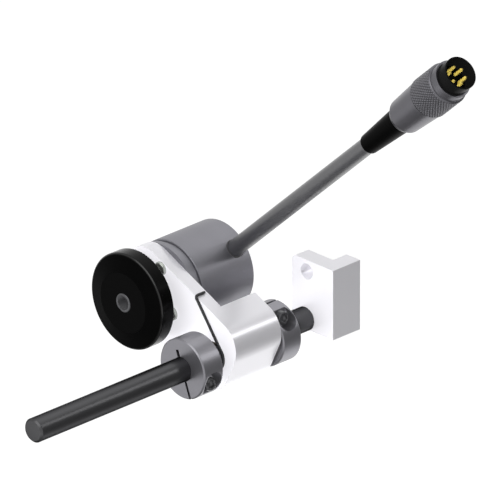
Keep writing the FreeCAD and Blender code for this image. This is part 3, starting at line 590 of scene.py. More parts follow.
ROW = Matrix.Scale(MM, 4)
SEAT_GAP = 0.02
RUNNING_GAP = 0.03
ROD_CHAMFER = 0.8
BRACKET_PLATE = 7.5
BRACKET_LEG = 7.5
BRACKET_CORNER = 2.2
BRACKET_HOLE = 3.3
ROD_SCREW = 2.5
ROD_SCREW_HOLE = 2.75
ROD_SCREW_HEAD = 4.8
ROD_SCREW_SINK = 0.2
ROD_SCREW_SOCKET = 3.0
ROD_SCREW_SOCKET_DEPTH = 2.0
SCREW_CHAMFER = 0.4
COLLAR_CHAMFER = 0.5
COLLAR_SLIT = 1.2
COLLAR_RELIEF = 1.5
COLLAR_RELIEF_REACH = 8.0
COLLAR_SCREW = 1.5
COLLAR_SCREW_LENGTH = 12.0
COLLAR_SCREW_OFFSET = 8.0
COLLAR_SCREW_SEAT = 5.6
COLLAR_SCREW_HEAD = 2.75
COLLAR_SCREW_HEAD_HEIGHT = 3.0
COLLAR_SCREW_SOCKET = 2.5
COLLAR_RECESS = 4.4
FRONT_SLIT_ANGLE = -69.0
REAR_SLIT_ANGLE = 95.5
PAST = 1.0                 # how far a cutting tool runs past the piece

rod_start, rod_end, _, rod_radius = reach("guide_rod", along_rod())


def guide_rod():
    """The plain rod with its chamfered ends."""
    edge = ROD_CHAMFER
    profile = [
        (rod_start, 0), (rod_start, rod_radius - edge), (rod_start + edge, rod_radius),
        (rod_end - edge, rod_radius), (rod_end, rod_radius - edge), (rod_end, 0),
    ]
    piece = turned("rod", profile, along_rod())
    finished(piece, "base", ROD_STEEL, "guide_rod")


def mounting_bracket():
    """The L-shaped block with its two holes."""
    low, high = [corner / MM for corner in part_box("mounting_bracket")]
    outline = round_rectangle(
        low.x, high.x, low.z, high.z, (BRACKET_CORNER, 0, 0, BRACKET_CORNER)
    )
    piece = made("bracket", lambda bm: prism(bm, outline, low.y, high.y), ROW)
    behind = (low.x - PAST, BRACKET_PLATE, low.z - PAST)
    beyond = (high.x - BRACKET_LEG, high.y + PAST, high.z + PAST)
    tip = BRACKET_PLATE - ROD_SCREW_SINK - ROD_SCREW_HEAD - SEAT_GAP
    end = BRACKET_PLATE + PAST
    cone = [(tip, 0), (end, 0), (end, end - tip)]
    cut(
        piece,
        box_tool(behind, beyond, ROW),
        round_tool(BRACKET_HOLE, -PAST, end, ROW),
        round_tool(ROD_SCREW_HOLE, -PAST, end, along_rod()),
        turned("tool", cone, along_rod(), 0, SMALL_STEPS),
    )
    softened(piece, BLOCK_EDGE)
    finished(piece, "base", LIGHT_METAL, "mounting_bracket")


def bracket_screw():
    """The countersunk screw behind the bracket."""
    start = reach("bracket_screw", along_rod())[0]
    top = BRACKET_PLATE - ROD_SCREW_SINK
    profile = [
        (start, 0), (start, ROD_SCREW - SCREW_CHAMFER), (start + SCREW_CHAMFER, ROD_SCREW),
        (top - ROD_SCREW_HEAD + ROD_SCREW, ROD_SCREW), (top, ROD_SCREW_HEAD), (top, 0),
    ]
    piece = turned("rod_screw", profile, along_rod(), FINE_EDGE)
    floor = top - ROD_SCREW_SOCKET_DEPTH
    cut(piece, hexagon_tool(ROD_SCREW_SOCKET, floor, top + PAST, along_rod()))
    finished(piece, "base", SCREW_STEEL, "bracket_screw")


def shaft_collar(name, node, place):
    """A collar with its slit along local +X and its screw along local Z."""
    start, end, bore, radius = reach(node, place)
    edge = COLLAR_CHAMFER
    profile = [
        (start, bore), (end, bore), (end, radius - edge), (end - edge, radius),
        (start + edge, radius), (start, radius - edge),
    ]
    piece = turned(name, profile, place, FINE_EDGE)
    deep = radius + PAST
    half = COLLAR_SLIT / 2
    relief = COLLAR_RELIEF / 2
    screw_place = place @ Matrix.Translation((COLLAR_SCREW_OFFSET, 0, 0)) @ UPRIGHT
    cut(
        piece,
        box_tool((0, -deep, -half), (deep, deep, half), place),
        box_tool((-COLLAR_RELIEF_REACH, -deep, -relief), (0, deep, relief), place),
        round_tool(COLLAR_RECESS, COLLAR_SCREW_SEAT, deep, screw_place, ROUND_STEPS),
        round_tool(COLLAR_SCREW + SEAT_GAP, -deep, COLLAR_SCREW_SEAT + SEAT_GAP, screw_place),
    )
    softened(piece, FINE_EDGE, STEEP, 1)
    finished(piece, "base", COLLAR_STEEL, node)


def collar_screw(name, node, place):
    """The socket head cap screw in a collar."""
    seat = COLLAR_SCREW_SEAT
    top = seat + COLLAR_SCREW_HEAD_HEIGHT
    tip = seat - COLLAR_SCREW_LENGTH
    edge = SCREW_CHAMFER
    profile = [
        (tip, 0), (tip, COLLAR_SCREW - edge), (tip + edge, COLLAR_SCREW), (seat, COLLAR_SCREW),
        (seat, COLLAR_SCREW_HEAD), (top - edge, COLLAR_SCREW_HEAD),
        (top, COLLAR_SCREW_HEAD - edge), (top, 0),
    ]
    at = place @ Matrix.Translation((COLLAR_SCREW_OFFSET, 0, 0)) @ UPRIGHT
    piece = turned(name, profile, at, FINE_EDGE, SMALL_STEPS)
    floor = seat + COLLAR_SCREW_HEAD_HEIGHT / 2
    cut(piece, hexagon_tool(COLLAR_SCREW_SOCKET, floor, top + PAST, at))
    finished(piece, "base", SCREW_STEEL, node)


def middle(node):
    """The middle of a node along Y, in millimetres."""
    low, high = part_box(node)
    return (low.y + high.y) / 2 / MM


def collars():
    """Both collars. The rear one is put on the other way round."""
    back_to_front = Matrix.Rotation(math.pi, 4, "X")
    places = {
        "front": along_rod(FRONT_SLIT_ANGLE, middle("front_collar")),
        "rear": along_rod(REAR_SLIT_ANGLE, middle("rear_collar")) @ back_to_front,
    }
    for end, place in places.items():
        shaft_collar(f"collar_{end}", f"{end}_collar", place)
        collar_screw(f"collar_{end}_screw", f"{end}_collar_screw", place)


SPRING_WIRE = 1.2
SPRING_COIL_GAP = 0.25
SPRING_TURNS = 4
SPRING_LEG_REACH = 18.4
SPRING_HOOK = 5.0
SPRING_BEND = 1.3
SPRING_CLEARANCE = 0.1
SPRING_STEPS = 40          # points to a turn
SPRING_LEAD = 4            # points of the coil that the bend into it takes up
LEG_SHARES = (1 / 6, 2 / 6, 3 / 6, 4 / 6)
WIRE_SIDES = 16
BEND_STEPS = 8
ARM_WIDTH = 32.0
ARM_CORNER = 11.0
ARM_CORNER_STEPS = 24
ARM_PLATE = 6.0
HUB = 10.0

arm_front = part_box("swing_arm")[0].y / MM
hub_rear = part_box("swing_arm")[1].y / MM
arm_rear = arm_front + ARM_PLATE


def tube(bm, path, radius):
    """Adds a round wire along a path of points, closed at both ends."""
    across = None
    rings = []
    for i, point in enumerate(path):
        ahead = path[min(i + 1, len(path) - 1)] - path[max(i - 1, 0)]
        ahead.normalize()
        if across is None:
            across = ahead.orthogonal().normalized()
        across = (across - ahead * across.dot(ahead)).normalized()
        other = ahead.cross(across)
        sides = [across * math.cos(t) + other * math.sin(t) for t in round_turns(WIRE_SIDES)]
        rings.append([bm.verts.new(point + side * radius) for side in sides])
    for first, second in zip(rings, rings[1:]):
        joined(bm, first, second)
    bm.faces.new(rings[0][::-1])
    bm.faces.new(rings[-1])


def spring_path():
    """The wire's middle line: the anchor, the coil, and the leg with its hook."""
    wire = SPRING_WIRE / 2
    coil = rod_radius + SPRING_COIL_GAP + wire
    start_angle = math.radians(FRONT_SLIT_ANGLE + 180)
    front_collar_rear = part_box("front_collar")[1].y / MM
    collar_middle = middle("front_collar")
    front = front_collar_rear + wire + SPRING_CLEARANCE
    rear = arm_front - wire - SPRING_CLEARANCE
    edge = ARM_WIDTH / 2 + wire + SPRING_CLEARANCE
    corner = Vector((
        -SPRING_LEG_REACH * math.cos(arm_rise) + edge * math.sin(arm_rise),
        rear,
        SPRING_LEG_REACH * math.sin(arm_rise) + edge * math.cos(arm_rise),
    ))
    distance = math.hypot(corner.x, corner.z)
    leave_angle = math.atan2(corner.z, corner.x) - math.acos(coil / distance)
    turn = leave_angle - start_angle + 2 * math.pi * SPRING_TURNS

    def on_coil(share):
        angle = start_angle + turn * share
        along = front + (rear - front) * share
        return Vector((coil * math.cos(angle), along, coil * math.sin(angle)))

    first = on_coil(0)
    ahead = (on_coil(0.001) - first).normalized()
    before_coil = first - Y_AXIS * wire
    path = [Vector((first.x, collar_middle, first.z)), before_coil - Y_AXIS * wire]
    path += bend(before_coil, first, first + ahead * wire, BEND_STEPS)[1:]
    steps = SPRING_TURNS * SPRING_STEPS
    path += [on_coil(k / steps) for k in range(SPRING_LEAD, steps + 1)]
    leave = path[-1]
    out = (corner - leave).normalized()
    path += [leave + (corner - leave) * share for share in LEG_SHARES]
    before = corner - out * SPRING_BEND
    after = corner + Y_AXIS * SPRING_BEND
    path += bend(before, corner, after, BEND_STEPS)
    path.append(corner + Y_AXIS * (SPRING_BEND + SPRING_HOOK) / 2)
    path.append(corner + Y_AXIS * SPRING_HOOK)
    return path, front, rear


def torsion_spring():
    """The round wire spring from the collar to the arm, as one fixed mesh; the real one twists
    between them.
    """
    path, front, rear = spring_path()
    piece = made("spring", lambda bm: tube(bm, path, SPRING_WIRE / 2), along_rod())
    piece.data.shade_smooth()
    piece.data.materials.append(SPRING_STEEL)
    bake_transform(piece)
    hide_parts("torsion_spring")


# The arm and what it carries

PILOT = 10.0
BUSH_OUTER = 6.03
BUSH_FLANGE = 9.0
FLANGE_SCREWS = 4
FLANGE_SCREW_CIRCLE = 13.0
FLANGE_SCREW = 1.5
FLANGE_SCREW_HOLE = 1.7
FLANGE_SCREW_LENGTH = 12.0
FLANGE_SCREW_HEAD = 2.9
FLANGE_SCREW_HEIGHT = 2.0
FLANGE_SCREW_RIM = 0.9
CROSS_LENGTH = 3.2
CROSS_WIDTH = 0.7
CROSS_DEPTH = 1.0
DOME_STEPS = 10

rod_to_encoder = ENCODER_POINT - ROD_POINT
centre_distance = math.hypot(rod_to_encoder.x, rod_to_encoder.z) / MM


def screw_places():
    """The encoder's screws, along and across the arm."""
    circle = FLANGE_SCREW_CIRCLE
    return [
        (-centre_distance + circle * math.cos(t), circle * math.sin(t))
        for t in round_turns(FLANGE_SCREWS)
    ]


def swing_arm():
    """The plate and hub in one piece, with its bores and screw holes."""
    place = along_arm()
    back = place.inverted()
    low = min((back @ v.co).x for v in frame["nodes"]["swing_arm"].data.vertices)
    half = ARM_WIDTH / 2
    outline = round_rectangle(low, HUB, -half, half, [ARM_CORNER] * 4, ARM_CORNER_STEPS)
    piece = made("arm", lambda bm: prism(bm, outline, arm_front, hub_rear), place)
    behind = (low - PAST, arm_rear, -half - PAST)
    before = arm_front - PAST
    beyond = hub_rear + PAST
    encoder = place @ Matrix.Translation((-centre_distance, 0, 0))
    cut(
        piece,
        box_tool(behind, (-HUB, beyond, half + PAST), place),
        round_tool(BUSH_OUTER + SEAT_GAP, before, beyond, place, ROUND_STEPS),
        round_tool(PILOT + SEAT_GAP, before, beyond, encoder, ROUND_STEPS),
    )
    for along, across in screw_places():
        at = place @ Matrix.Translation((along, 0, across))
        cut(piece, round_tool(FLANGE_SCREW_HOLE, before, arm_rear + PAST, at))
    softened(piece, BLOCK_EDGE)
    finished(piece, "arm", LIGHT_METAL, "swing_arm")


def bushes():
    """The two plain bushes in the hub."""
    bore = rod_radius + RUNNING_GAP
    for side in ("front", "rear"):
        start, end, _, _ = reach(f"{side}_bush", along_rod())
        profile = [(start, bore), (end, bore)]
        if side == "rear":
            profile += [(end, BUSH_FLANGE), (hub_rear, BUSH_FLANGE)]
            end = hub_rear
        profile += [(end, BUSH_OUTER), (start, BUSH_OUTER)]
        piece = turned(f"bush_{side}", profile, along_rod(), FINE_EDGE)
        finished(piece, "arm", BUSH_BRONZE, f"{side}_bush")


def pan_screw(number, along, across):
    """A pan head screw with a cross recess."""
    place = along_arm() @ Matrix.Translation((along, arm_front, across))
    profile = [
        (FLANGE_SCREW_LENGTH, 0), (FLANGE_SCREW_LENGTH, FLANGE_SCREW), (0, FLANGE_SCREW),
        (0, FLANGE_SCREW_HEAD),
    ]
    profile += domed(-FLANGE_SCREW_RIM, -FLANGE_SCREW_HEIGHT, FLANGE_SCREW_HEAD, DOME_STEPS)
    piece = turned(f"pan_screw_{number}", profile, place, 0, SMALL_STEPS)
    half = CROSS_LENGTH / 2
    thin = CROSS_WIDTH / 2
    top = -FLANGE_SCREW_HEIGHT - PAST
    floor = -FLANGE_SCREW_HEIGHT + CROSS_DEPTH
    cut(
        piece,
        box_tool((-half, top, -thin), (half, floor, thin), place),
        box_tool((-thin, top, -half), (thin, floor, half), place),
    )
    softened(piece, FINE_EDGE, STEEP, 1)
    finished(piece, "arm", ZINC, f"encoder_screw_{number}")


FLANGE_THICKNESS = 2.5
GROOVE_DEPTH = 0.9
CAN_WALL = 1.5
CAN_ROUND = 0.6
CAN_ROUND_STEPS = 5
PILOT_SETBACK = 1.5
BEARING = 8.02
BEARING_SHOULDER = 6.5
BEARING_STOP = 1.0         # half the width of the shoulder between the bearings
EXIT_RING = 3.9
EXIT_FLANGE = 1.0
CABLE = 3.5

can_front, can_rear, _, can_radius = reach("encoder_housing", along_encoder())


def encoder_shell():
    """The flange with its groove, and the can behind it."""
    place = along_encoder()
    rim_rear = arm_rear + FLANGE_THICKNESS
    neck = can_radius - GROOVE_DEPTH
    barrel = can_radius - CAN_WALL - SEAT_GAP
    barrel_rear = reach("encoder_flange", place)[1]
    front = arm_front + PILOT_SETBACK
    before = (front + barrel_rear) / 2 - BEARING_STOP
    behind = before + 2 * BEARING_STOP
    profile = [
        (front, BEARING), (before, BEARING), (before, BEARING_SHOULDER),
        (behind, BEARING_SHOULDER), (behind, BEARING), (barrel_rear, BEARING),
        (barrel_rear, barrel), (can_front, barrel), (can_front, neck), (rim_rear, neck),
        (rim_rear, can_radius), (arm_rear, can_radius), (arm_rear, PILOT), (front, PILOT),
    ]
    piece = turned("flange", profile, place, EDGE, 2 * ROUND_STEPS)
    finished(piece, "arm", SHELL_GREY, "encoder_flange")
    inner = can_radius - CAN_WALL
    profile = [
        (can_front, inner), (can_rear - CAN_WALL, inner), (can_rear - CAN_WALL, 0), (can_rear, 0),
        (can_rear, can_radius), (can_front, can_radius),
    ]
    outline = rounded(profile, CAN_ROUND, CAN_ROUND_STEPS)
    piece = turned("can", outline, place, 0, 2 * ROUND_STEPS)
    cut(piece, round_tool(EXIT_RING + SEAT_GAP, PILOT, 2 * can_radius, along_cable()))
    finished(piece, "arm", SHELL_GREY, "encoder_housing")


def exit_ring():
    """The thin ring round the cable where it leaves the can."""
    start, end, bore, flange = reach("cable_exit_ring", along_cable())
    neck = start + EXIT_FLANGE
    profile = [
        (start, bore), (end, bore), (end, EXIT_RING), (neck, EXIT_RING), (neck, flange),
        (start, flange),
    ]
    piece = turned("exit_ring", profile, along_cable(), FINE_EDGE, SMALL_STEPS)
    finished(piece, "arm", EXIT_RUBBER, "cable_exit_ring")


# The wheel and its shaft

SHAFT = 4.0
SHAFT_BORE = 2.95
SHAFT_BORE_DEPTH = 12.0
SHAFT_CHAMFER = 0.25
SHOULDER_SETBACK = 6.5
SHOULDER_LENGTH = 5.0
SHAFT_FLAT_DEPTH = 0.4
SHAFT_FLAT_ANGLE = -117.0
WHEEL_DISC = 12.5
WHEEL_BOSS = 8.0
WHEEL_BOSS_LENGTH = 3.5
WHEEL_TREAD = 6.7
WHEEL_FLANK = 19.2
WHEEL_CHAMFER = 0.5
KEY_WIDTH = 4.5
KEY_HEIGHT = 2.5
SET_SCREW = 1.25
SET_SCREW_SOCKET = 1.3

wheel_front, wheel_rear, _, wheel_radius = reach("friction_tyre", along_encoder())
wheel_middle = (wheel_front + wheel_rear) / 2


def key_profile(gap):
    """The wheel disc's edge with its key, from the front face to the rear one."""
    radius = WHEEL_DISC + gap
    start = wheel_middle - KEY_WIDTH / 2 - gap
    end = wheel_middle + KEY_WIDTH / 2 + gap
    return [
        (wheel_front, radius), (start, radius), (start, radius + KEY_HEIGHT),
        (end, radius + KEY_HEIGHT), (end, radius), (wheel_rear, radius),
    ]


def wheel():
    """The wheel's hub with its boss, and the tyre on it."""
    place = along_encoder(SHAFT_FLAT_ANGLE)
    bore = SHAFT + SEAT_GAP
    boss_rear = wheel_rear + WHEEL_BOSS_LENGTH
    profile = [(wheel_front, bore)] + key_profile(0) + [
        (wheel_rear, WHEEL_BOSS), (boss_rear, WHEEL_BOSS), (boss_rear, bore),
    ]
    piece = turned("wheel_hub", profile, place, FINE_EDGE, 2 * ROUND_STEPS)
    across = place @ Matrix.Translation((0, wheel_rear + WHEEL_BOSS_LENGTH / 2, 0)) @ SIDEWAYS
    cut(piece, round_tool(SET_SCREW + SEAT_GAP, 0, 2 * WHEEL_BOSS, across))
    finished(piece, "wheel", WHEEL_BLACK, "friction_wheel_hub")
    start = wheel_middle - WHEEL_TREAD / 2
    end = wheel_middle + WHEEL_TREAD / 2
    edge = WHEEL_CHAMFER
    rim = wheel_radius - edge
    profile = key_profile(SEAT_GAP) + [
        (end, WHEEL_FLANK), (end, rim), (end - edge, wheel_radius),
        (start + edge, wheel_radius), (start, rim), (start, WHEEL_FLANK),
    ]
    piece = turned("tyre", profile, place, EDGE, 2 * ROUND_STEPS)
    finished(piece, "wheel", TYRE_RUBBER, "friction_tyre")
    second_material(piece, place, FLANK_RUBBER, lambda y, radius: radius < WHEEL_FLANK)
    second_material(
        piece, place, EDGE_RUBBER,
        lambda y, radius: radius > rim and not start + edge < y < end - edge,
    )


def set_screw():
    """The headless screw in the wheel's boss."""
    place = along_encoder(SHAFT_FLAT_ANGLE, wheel_rear + WHEEL_BOSS_LENGTH / 2) @ SIDEWAYS
    start, end, _, radius = reach("wheel_set_screw", place)
    profile = [(start, 0), (start, radius), (end, radius), (end, 0)]
    piece = turned("wheel_screw", profile, place, EDGE, SMALL_STEPS)
    cut(piece, hexagon_tool(SET_SCREW_SOCKET, end - SET_SCREW_SOCKET, end + PAST, place))
    finished(piece, "wheel", SCREW_STEEL, "wheel_set_screw")


def encoder_shaft():
    """The shaft, bored at the front and with a flat for the wheel's screw."""
    place = along_encoder(SHAFT_FLAT_ANGLE)
    start, end, _, shoulder = reach("encoder_shaft", place)
    front = arm_front + PILOT_SETBACK + SHOULDER_SETBACK
    profile = [
        (start, 0), (start, SHAFT - SHAFT_CHAMFER), (start + SHAFT_CHAMFER, SHAFT),
        (front, SHAFT), (front, shoulder), (front + SHOULDER_LENGTH, shoulder),
        (front + SHOULDER_LENGTH, SHAFT), (end, SHAFT), (end, 0),
    ]
    piece = turned("shaft", profile, place, FINE_EDGE, ROUND_STEPS)
    flat_start = (SHAFT - SHAFT_FLAT_DEPTH, start - PAST, -2 * SHAFT)
    flat_end = (2 * SHAFT, wheel_rear + WHEEL_BOSS_LENGTH, 2 * SHAFT)
    cut(
        piece,
        round_tool(SHAFT_BORE, start - PAST, start + SHAFT_BORE_DEPTH, place, ROUND_STEPS),
        box_tool(flat_start, flat_end, place),
    )
    softened(piece, FINE_EDGE, STEEP, 1)
    finished(piece, "wheel", SHAFT_STEEL, "encoder_shaft")


# The cable and its connector

SHELL_SHOULDER = 2.2
SHELL_START = 6.2
SHELL_SHOULDER_RADIUS = 7.4
SHELL_BORE = 6.0
RELIEF_MOUTH = 5.6
RELIEF_START = 4.2
RELIEF_TAIL = 5.9
RING_CHAMFER = 0.6
RING_LIP = 1.6
RING_LIP_BORE = 6.75
RING_BORE = 6.9
RING_NOSE = 7.9
RING_NOSE_LENGTH = 3.7
KNURL_STARTS = 46
KNURL_DEPTH = 0.3
KNURL_SLANT = 30.0
KNURL_STEEPNESS = 2.2      # above 1, the points are flat on top
KNURL_ROWS = 72
KNURL_COLUMNS = 8 * KNURL_STARTS
KNURL_FADE = 0.5           # over this length the grooves run out at each end
KNURL_FADE_START = 0.3     # with this share of their depth left
SHELL_NECK_LENGTH = 4.0
INSERT_WALL = 0.75
INSERT_CAVITY = 7.0
INSERT_PLAY = 0.12
PIN_COUNT = 6
PIN_CIRCLE = 3.5
PIN_FIRST_ANGLE = 25.0
PIN_STEPS = 40
PIN_DOME_STEPS = 8
EXIT_DEPTH = 0.75          # how far inside the exit ring's mouth the cable is taken up
CABLE_STEPS = 12

relief_start, relief_end, _, _ = reach("bend_relief", along_cable())
shell_start, shell_end, _, shell_radius = reach("connector_back_shell", along_cable())
ring_start, nose_end, _, ring_radius = reach("coupling_ring", along_cable())
ring_end = nose_end - RING_NOSE_LENGTH
knurl_start = ring_start + RING_CHAMFER
knurl_end = ring_end - RING_CHAMFER
exit_end = reach("cable_exit_ring", along_cable())[1]

# The knurl's painted shade: how bright its metal is at two radii, dark in its grooves and bright
# near its points
KNURL_PAINTED_SHADES = [(ring_radius - KNURL_DEPTH, 0.018), (ring_radius - KNURL_DEPTH / 6, 0.15)]
KNURL_SHADE_PAINTED_METAL = knurled("knurl_painted_shade", 0.33, CABLE_AXIS, KNURL_PAINTED_SHADES)


def cable():
    """The straight cable, as one curve from the can to its end in the connector."""
    start = exit_end - EXIT_DEPTH
    free = relief_start - start
    places = [start, start + free / 3, start + 2 * free / 3, relief_start, relief_end]
    place = along_cable()
    curve = bpy.data.curves.new("cable_line", "CURVE")
    curve.dimensions = "3D"
    curve.bevel_depth = CABLE * MM
    curve.bevel_resolution = CABLE_STEPS
    curve.use_fill_caps = True
    spline = curve.splines.new("NURBS")
    spline.points.add(len(places) - 1)
    for point, along in zip(spline.points, places):
        point.co = (*(place @ Vector((0, along, 0))), 1.0)
    spline.order_u = 3
    spline.use_endpoint_u = True
    spline.resolution_u = CABLE_STEPS
    piece = placed("cable_line", curve)
    curve.materials.append(CABLE_JACKET)
    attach(piece, "arm")
    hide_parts("cable")
    return piece, place @ Vector((0, start, 0)), (relief_end - start) * MM


def bend_relief():
    """The tapered rubber sleeve where the cable enters the connector."""
    bore = CABLE + SEAT_GAP
    mouth = shell_start + SHELL_SHOULDER
    profile = [
        (relief_start, bore), (relief_end, bore), (relief_end, RELIEF_TAIL), (mouth, RELIEF_TAIL),
        (mouth, RELIEF_MOUTH), (shell_start, RELIEF_MOUTH), (relief_start, RELIEF_START),
    ]
    piece = turned("relief", profile, along_cable(), EDGE)
    return finished(piece, "arm", RELIEF_RUBBER, "bend_relief")


def back_shell():
    """The smooth shell behind the coupling ring."""
    mouth = RELIEF_MOUTH + SEAT_GAP
    shoulder = shell_start + SHELL_SHOULDER
    neck = shell_end - SHELL_NECK_LENGTH
    profile = [
        (shell_start, mouth), (shoulder, mouth), (shoulder, SHELL_BORE),
        (neck, SHELL_BORE), (neck, RING_LIP_BORE), (shell_end, RING_LIP_BORE),
        (shell_end, shell_radius), (shoulder, SHELL_SHOULDER_RADIUS), (shell_start, SHELL_START),
    ]
    piece = turned("back_shell", profile, along_cable(), EDGE)
    return finished(piece, "arm", CONNECTOR_METAL, "connector_back_shell")


def knurl_height(turn, along):
    """The knurl's relief at a turn and a place along the ring: 1 on a point, 0 in a groove."""
    slope = math.tan(math.radians(KNURL_SLANT)) / ring_radius
    heights = []
    for side in (1, -1):
        phase = KNURL_STARTS * (turn + side * along * slope) / (2 * math.pi)
        heights.append(1 - 2 * abs(phase % 1 - 0.5))
    return min(1.0, KNURL_STEEPNESS * min(heights))


def knurled_ring(bm):
    """Adds the coupling ring, with a crossed knurl between its chamfers."""
    rim = ring_radius - RING_CHAMFER
    lip = ring_start + RING_LIP
    profile = [
        (knurl_start, ring_radius), (ring_start, rim), (ring_start, RING_LIP_BORE),
        (lip, RING_LIP_BORE), (lip, RING_BORE), (nose_end, RING_BORE), (nose_end, RING_NOSE),
        (ring_end, RING_NOSE), (ring_end, rim), (knurl_end, ring_radius),
    ]
    plain = rounded(profile, EDGE)[CORNER_STEPS + 1:-CORNER_STEPS - 1]
    rings = []
    for k in range(KNURL_ROWS + 1):
        along = knurl_end + (knurl_start - knurl_end) * k / KNURL_ROWS
        from_end = min(along - knurl_start, knurl_end - along) / KNURL_FADE
        rings.append((along, ring_radius, KNURL_DEPTH * min(1.0, from_end + KNURL_FADE_START)))
    rings += [(along, radius, 0.0) for along, radius in plain]
    turns = round_turns(KNURL_COLUMNS)
    points = []
    for along, radius, depth in rings:
        radii = [radius - (depth * (1 - knurl_height(t, along)) if depth else 0) for t in turns]
        points.append(
            [bm.verts.new((r * math.cos(t), along, r * math.sin(t))) for r, t in zip(radii, turns)]
        )
    for first, second in zip(points, points[1:] + points[:1]):
        joined(bm, first, second)


def coupling():
    """The knurled coupling ring with its nose."""
    place = along_cable()
    piece = made("knurled_ring", knurled_ring, place)
    finished(piece, "coupling", CONNECTOR_METAL, "coupling_ring")
    inside = ring_radius - 2 * KNURL_DEPTH
    # The knurl's faces get the metal with painted shade in its grooves.
    second_material(
        piece, place, KNURL_SHADE_PAINTED_METAL,
        lambda y, radius: radius > inside and knurl_start < y < knurl_end,
    )
    return piece


def insert():
    """The black insert with its shroud, and the contact pins in it."""
    place = along_cable()
    start, end, _, radius = reach("connector_insert", place)
    floor = end - INSERT_CAVITY
    inner = radius - INSERT_WALL
    neck = ring_start + 2 * RING_LIP
    stem = SHELL_BORE - INSERT_PLAY
    profile = [
        (start, 0), (floor, 0), (floor, inner), (end, inner), (end, radius), (neck, radius),
        (neck, stem), (start, stem),
    ]
    body = turned("insert", profile, place, EDGE)
    finished(body, "arm", INSERT_PLASTIC, "connector_insert")
    pins = []
    for i in range(PIN_COUNT):
        t = math.radians(PIN_FIRST_ANGLE) + 2 * math.pi * i / PIN_COUNT
        at = place @ Matrix.Translation((-PIN_CIRCLE * math.cos(t), 0, PIN_CIRCLE * math.sin(t)))
        node = f"contact_pin_{i + 1}"
        tail, tip, _, pin = reach(node, at)
        profile = [(tail, 0), (tail, pin)] + domed(tip - pin, tip, pin, PIN_DOME_STEPS)
        piece = turned(f"pin_{i + 1}", profile, at, 0, PIN_STEPS)
        pins.append(finished(piece, "arm", GOLD, node))
    return [body] + pins


# What lies inside keeps its CAD solid

def inner_pieces():
    """The hidden pieces' materials."""
    materials = {
        "flange_o_ring": SEAL_RUBBER, "shaft_seal": SEAL_RUBBER, "shaft_circlip": SCREW_STEEL,
        "code_disc_hub": DISC_HUB, "code_disc": CODE_GLASS, "light_source": CHIP_BLACK,
        "photo_sensor": CHIP_BLACK, "circuit_board": BOARD_GREEN, "board_posts": POST_BRASS,
        "board_screws": SCREW_STEEL, "cable_clamp": CLAMP_STEEL,
        "connector_sleeve": CONNECTOR_METAL,
    }
    for end in ("front", "rear"):
        for part in ("outer_ring", "inner_ring", "balls"):
            materials[f"{end}_bearing_{part}"] = BEARING_STEEL
    for node, material in materials.items():
        for slot in frame["nodes"][node].material_slots:
            slot.material = material


# Camera, floor and light

FLOOR_DEPTH = 0.30
FLOOR_SIZE = 60.0
FLOOR_SHADE = 0.35
FLOOR_GLOW = 0.9
FLOOR_SPOT = (0.25, 0.8)   # gloss sees the floor darker within this reach of the object's foot
FLOOR_SPOT_GLOW = 0.02
SKY_TOP = 0.72             # the backdrop's shade overhead; it is white at the horizon
SKY_RISE = (0.1, 0.8)      # the heights between which its shade changes
AMBIENT = 0.27             # how much of the backdrop's light falls on the object


def view_back():
    """From the object towards the camera."""
    a = math.radians(VIEW_AZIMUTH)
    e = math.radians(VIEW_ELEVATION)
    return Vector((math.sin(a) * math.cos(e), -math.cos(a) * math.cos(e), math.sin(e)))


def aimed(thing, towards, distance):
    """Sets a camera or lamp at a distance from the object, facing it."""
    thing.location = VIEW_TARGET + towards * distance
    thing.rotation_mode = "QUATERNION"
    thing.rotation_quaternion = towards.to_track_quat("Z", "Y")


def camera():
    """A long lens from the photograph's angle."""
    data = bpy.data.cameras.new("camera")
    data.lens = LENS
    data.sensor_width = SENSOR
    data.clip_start, data.clip_end = CLIP
    bpy.context.scene.camera = placed("camera", data)
    aimed(bpy.context.scene.camera, view_back(), VIEW_WIDTH / SENSOR * LENS)


def staged(name, build, material):
    """A floor or card of the studio, which isn't part of the object."""
    mesh = built(name, build)
    mesh.materials.append(material)
    prop = placed(name, mesh)
    return prop


def floor():
    """A wide pale floor, well below the part, which is held by its bracket."""
    def grid(bm):
        bmesh.ops.create_grid(bm, x_segments=1, y_segments=1, size=FLOOR_SIZE / 2)

    shader = Shader("floor_pale")
    shader.set("Base Color", (*grey(FLOOR_SHADE), 1))
    shader.set("Roughness", 1.0)
    shader.set("Specular IOR Level", 0.0)
    shader.set("Emission Color", (1, 1, 1, 1))
    distance = shader.vectors("LENGTH", {0: shader.place()}, "Value")
    share = shader.mapped(distance, FLOOR_SPOT, (FLOOR_SPOT_GLOW, 1.0))
    gloss = shader.node("ShaderNodeLightPath").outputs["Is Glossy Ray"]
    seen = shader.maths("MULTIPLY", shader.seen_rays(), shader.mapped(gloss, (0, 1), (1.0, share)))
    shader.set("Emission Strength", shader.maths("MULTIPLY", seen, FLOOR_GLOW))
    plane = staged("floor", grid, shader.material)
    plane.location.z = cad_box[0].z - FLOOR_DEPTH


# How bright the studio behind the object looks in gloss, by the turn round the +Y axis from +X
# towards +Z: bright above, dim to the right, and bright again below
DOME_RADIUS = 0.34
DOME_FRONT = 0.01          # the card starts this far behind its centre
DOME_PARTS = (64, 32)
DOME_PEAK = 2.0
DOME_SHADES = [
    (-180, 1.25), (-125, 1.4), (-88, 1.9), (-66, 1.5), (-48, 0.50), (-30, 0.26), (0, 0.30),
    (30, 0.52), (60, 1.05), (97, 1.6), (140, 1.4), (180, 1.45),
]


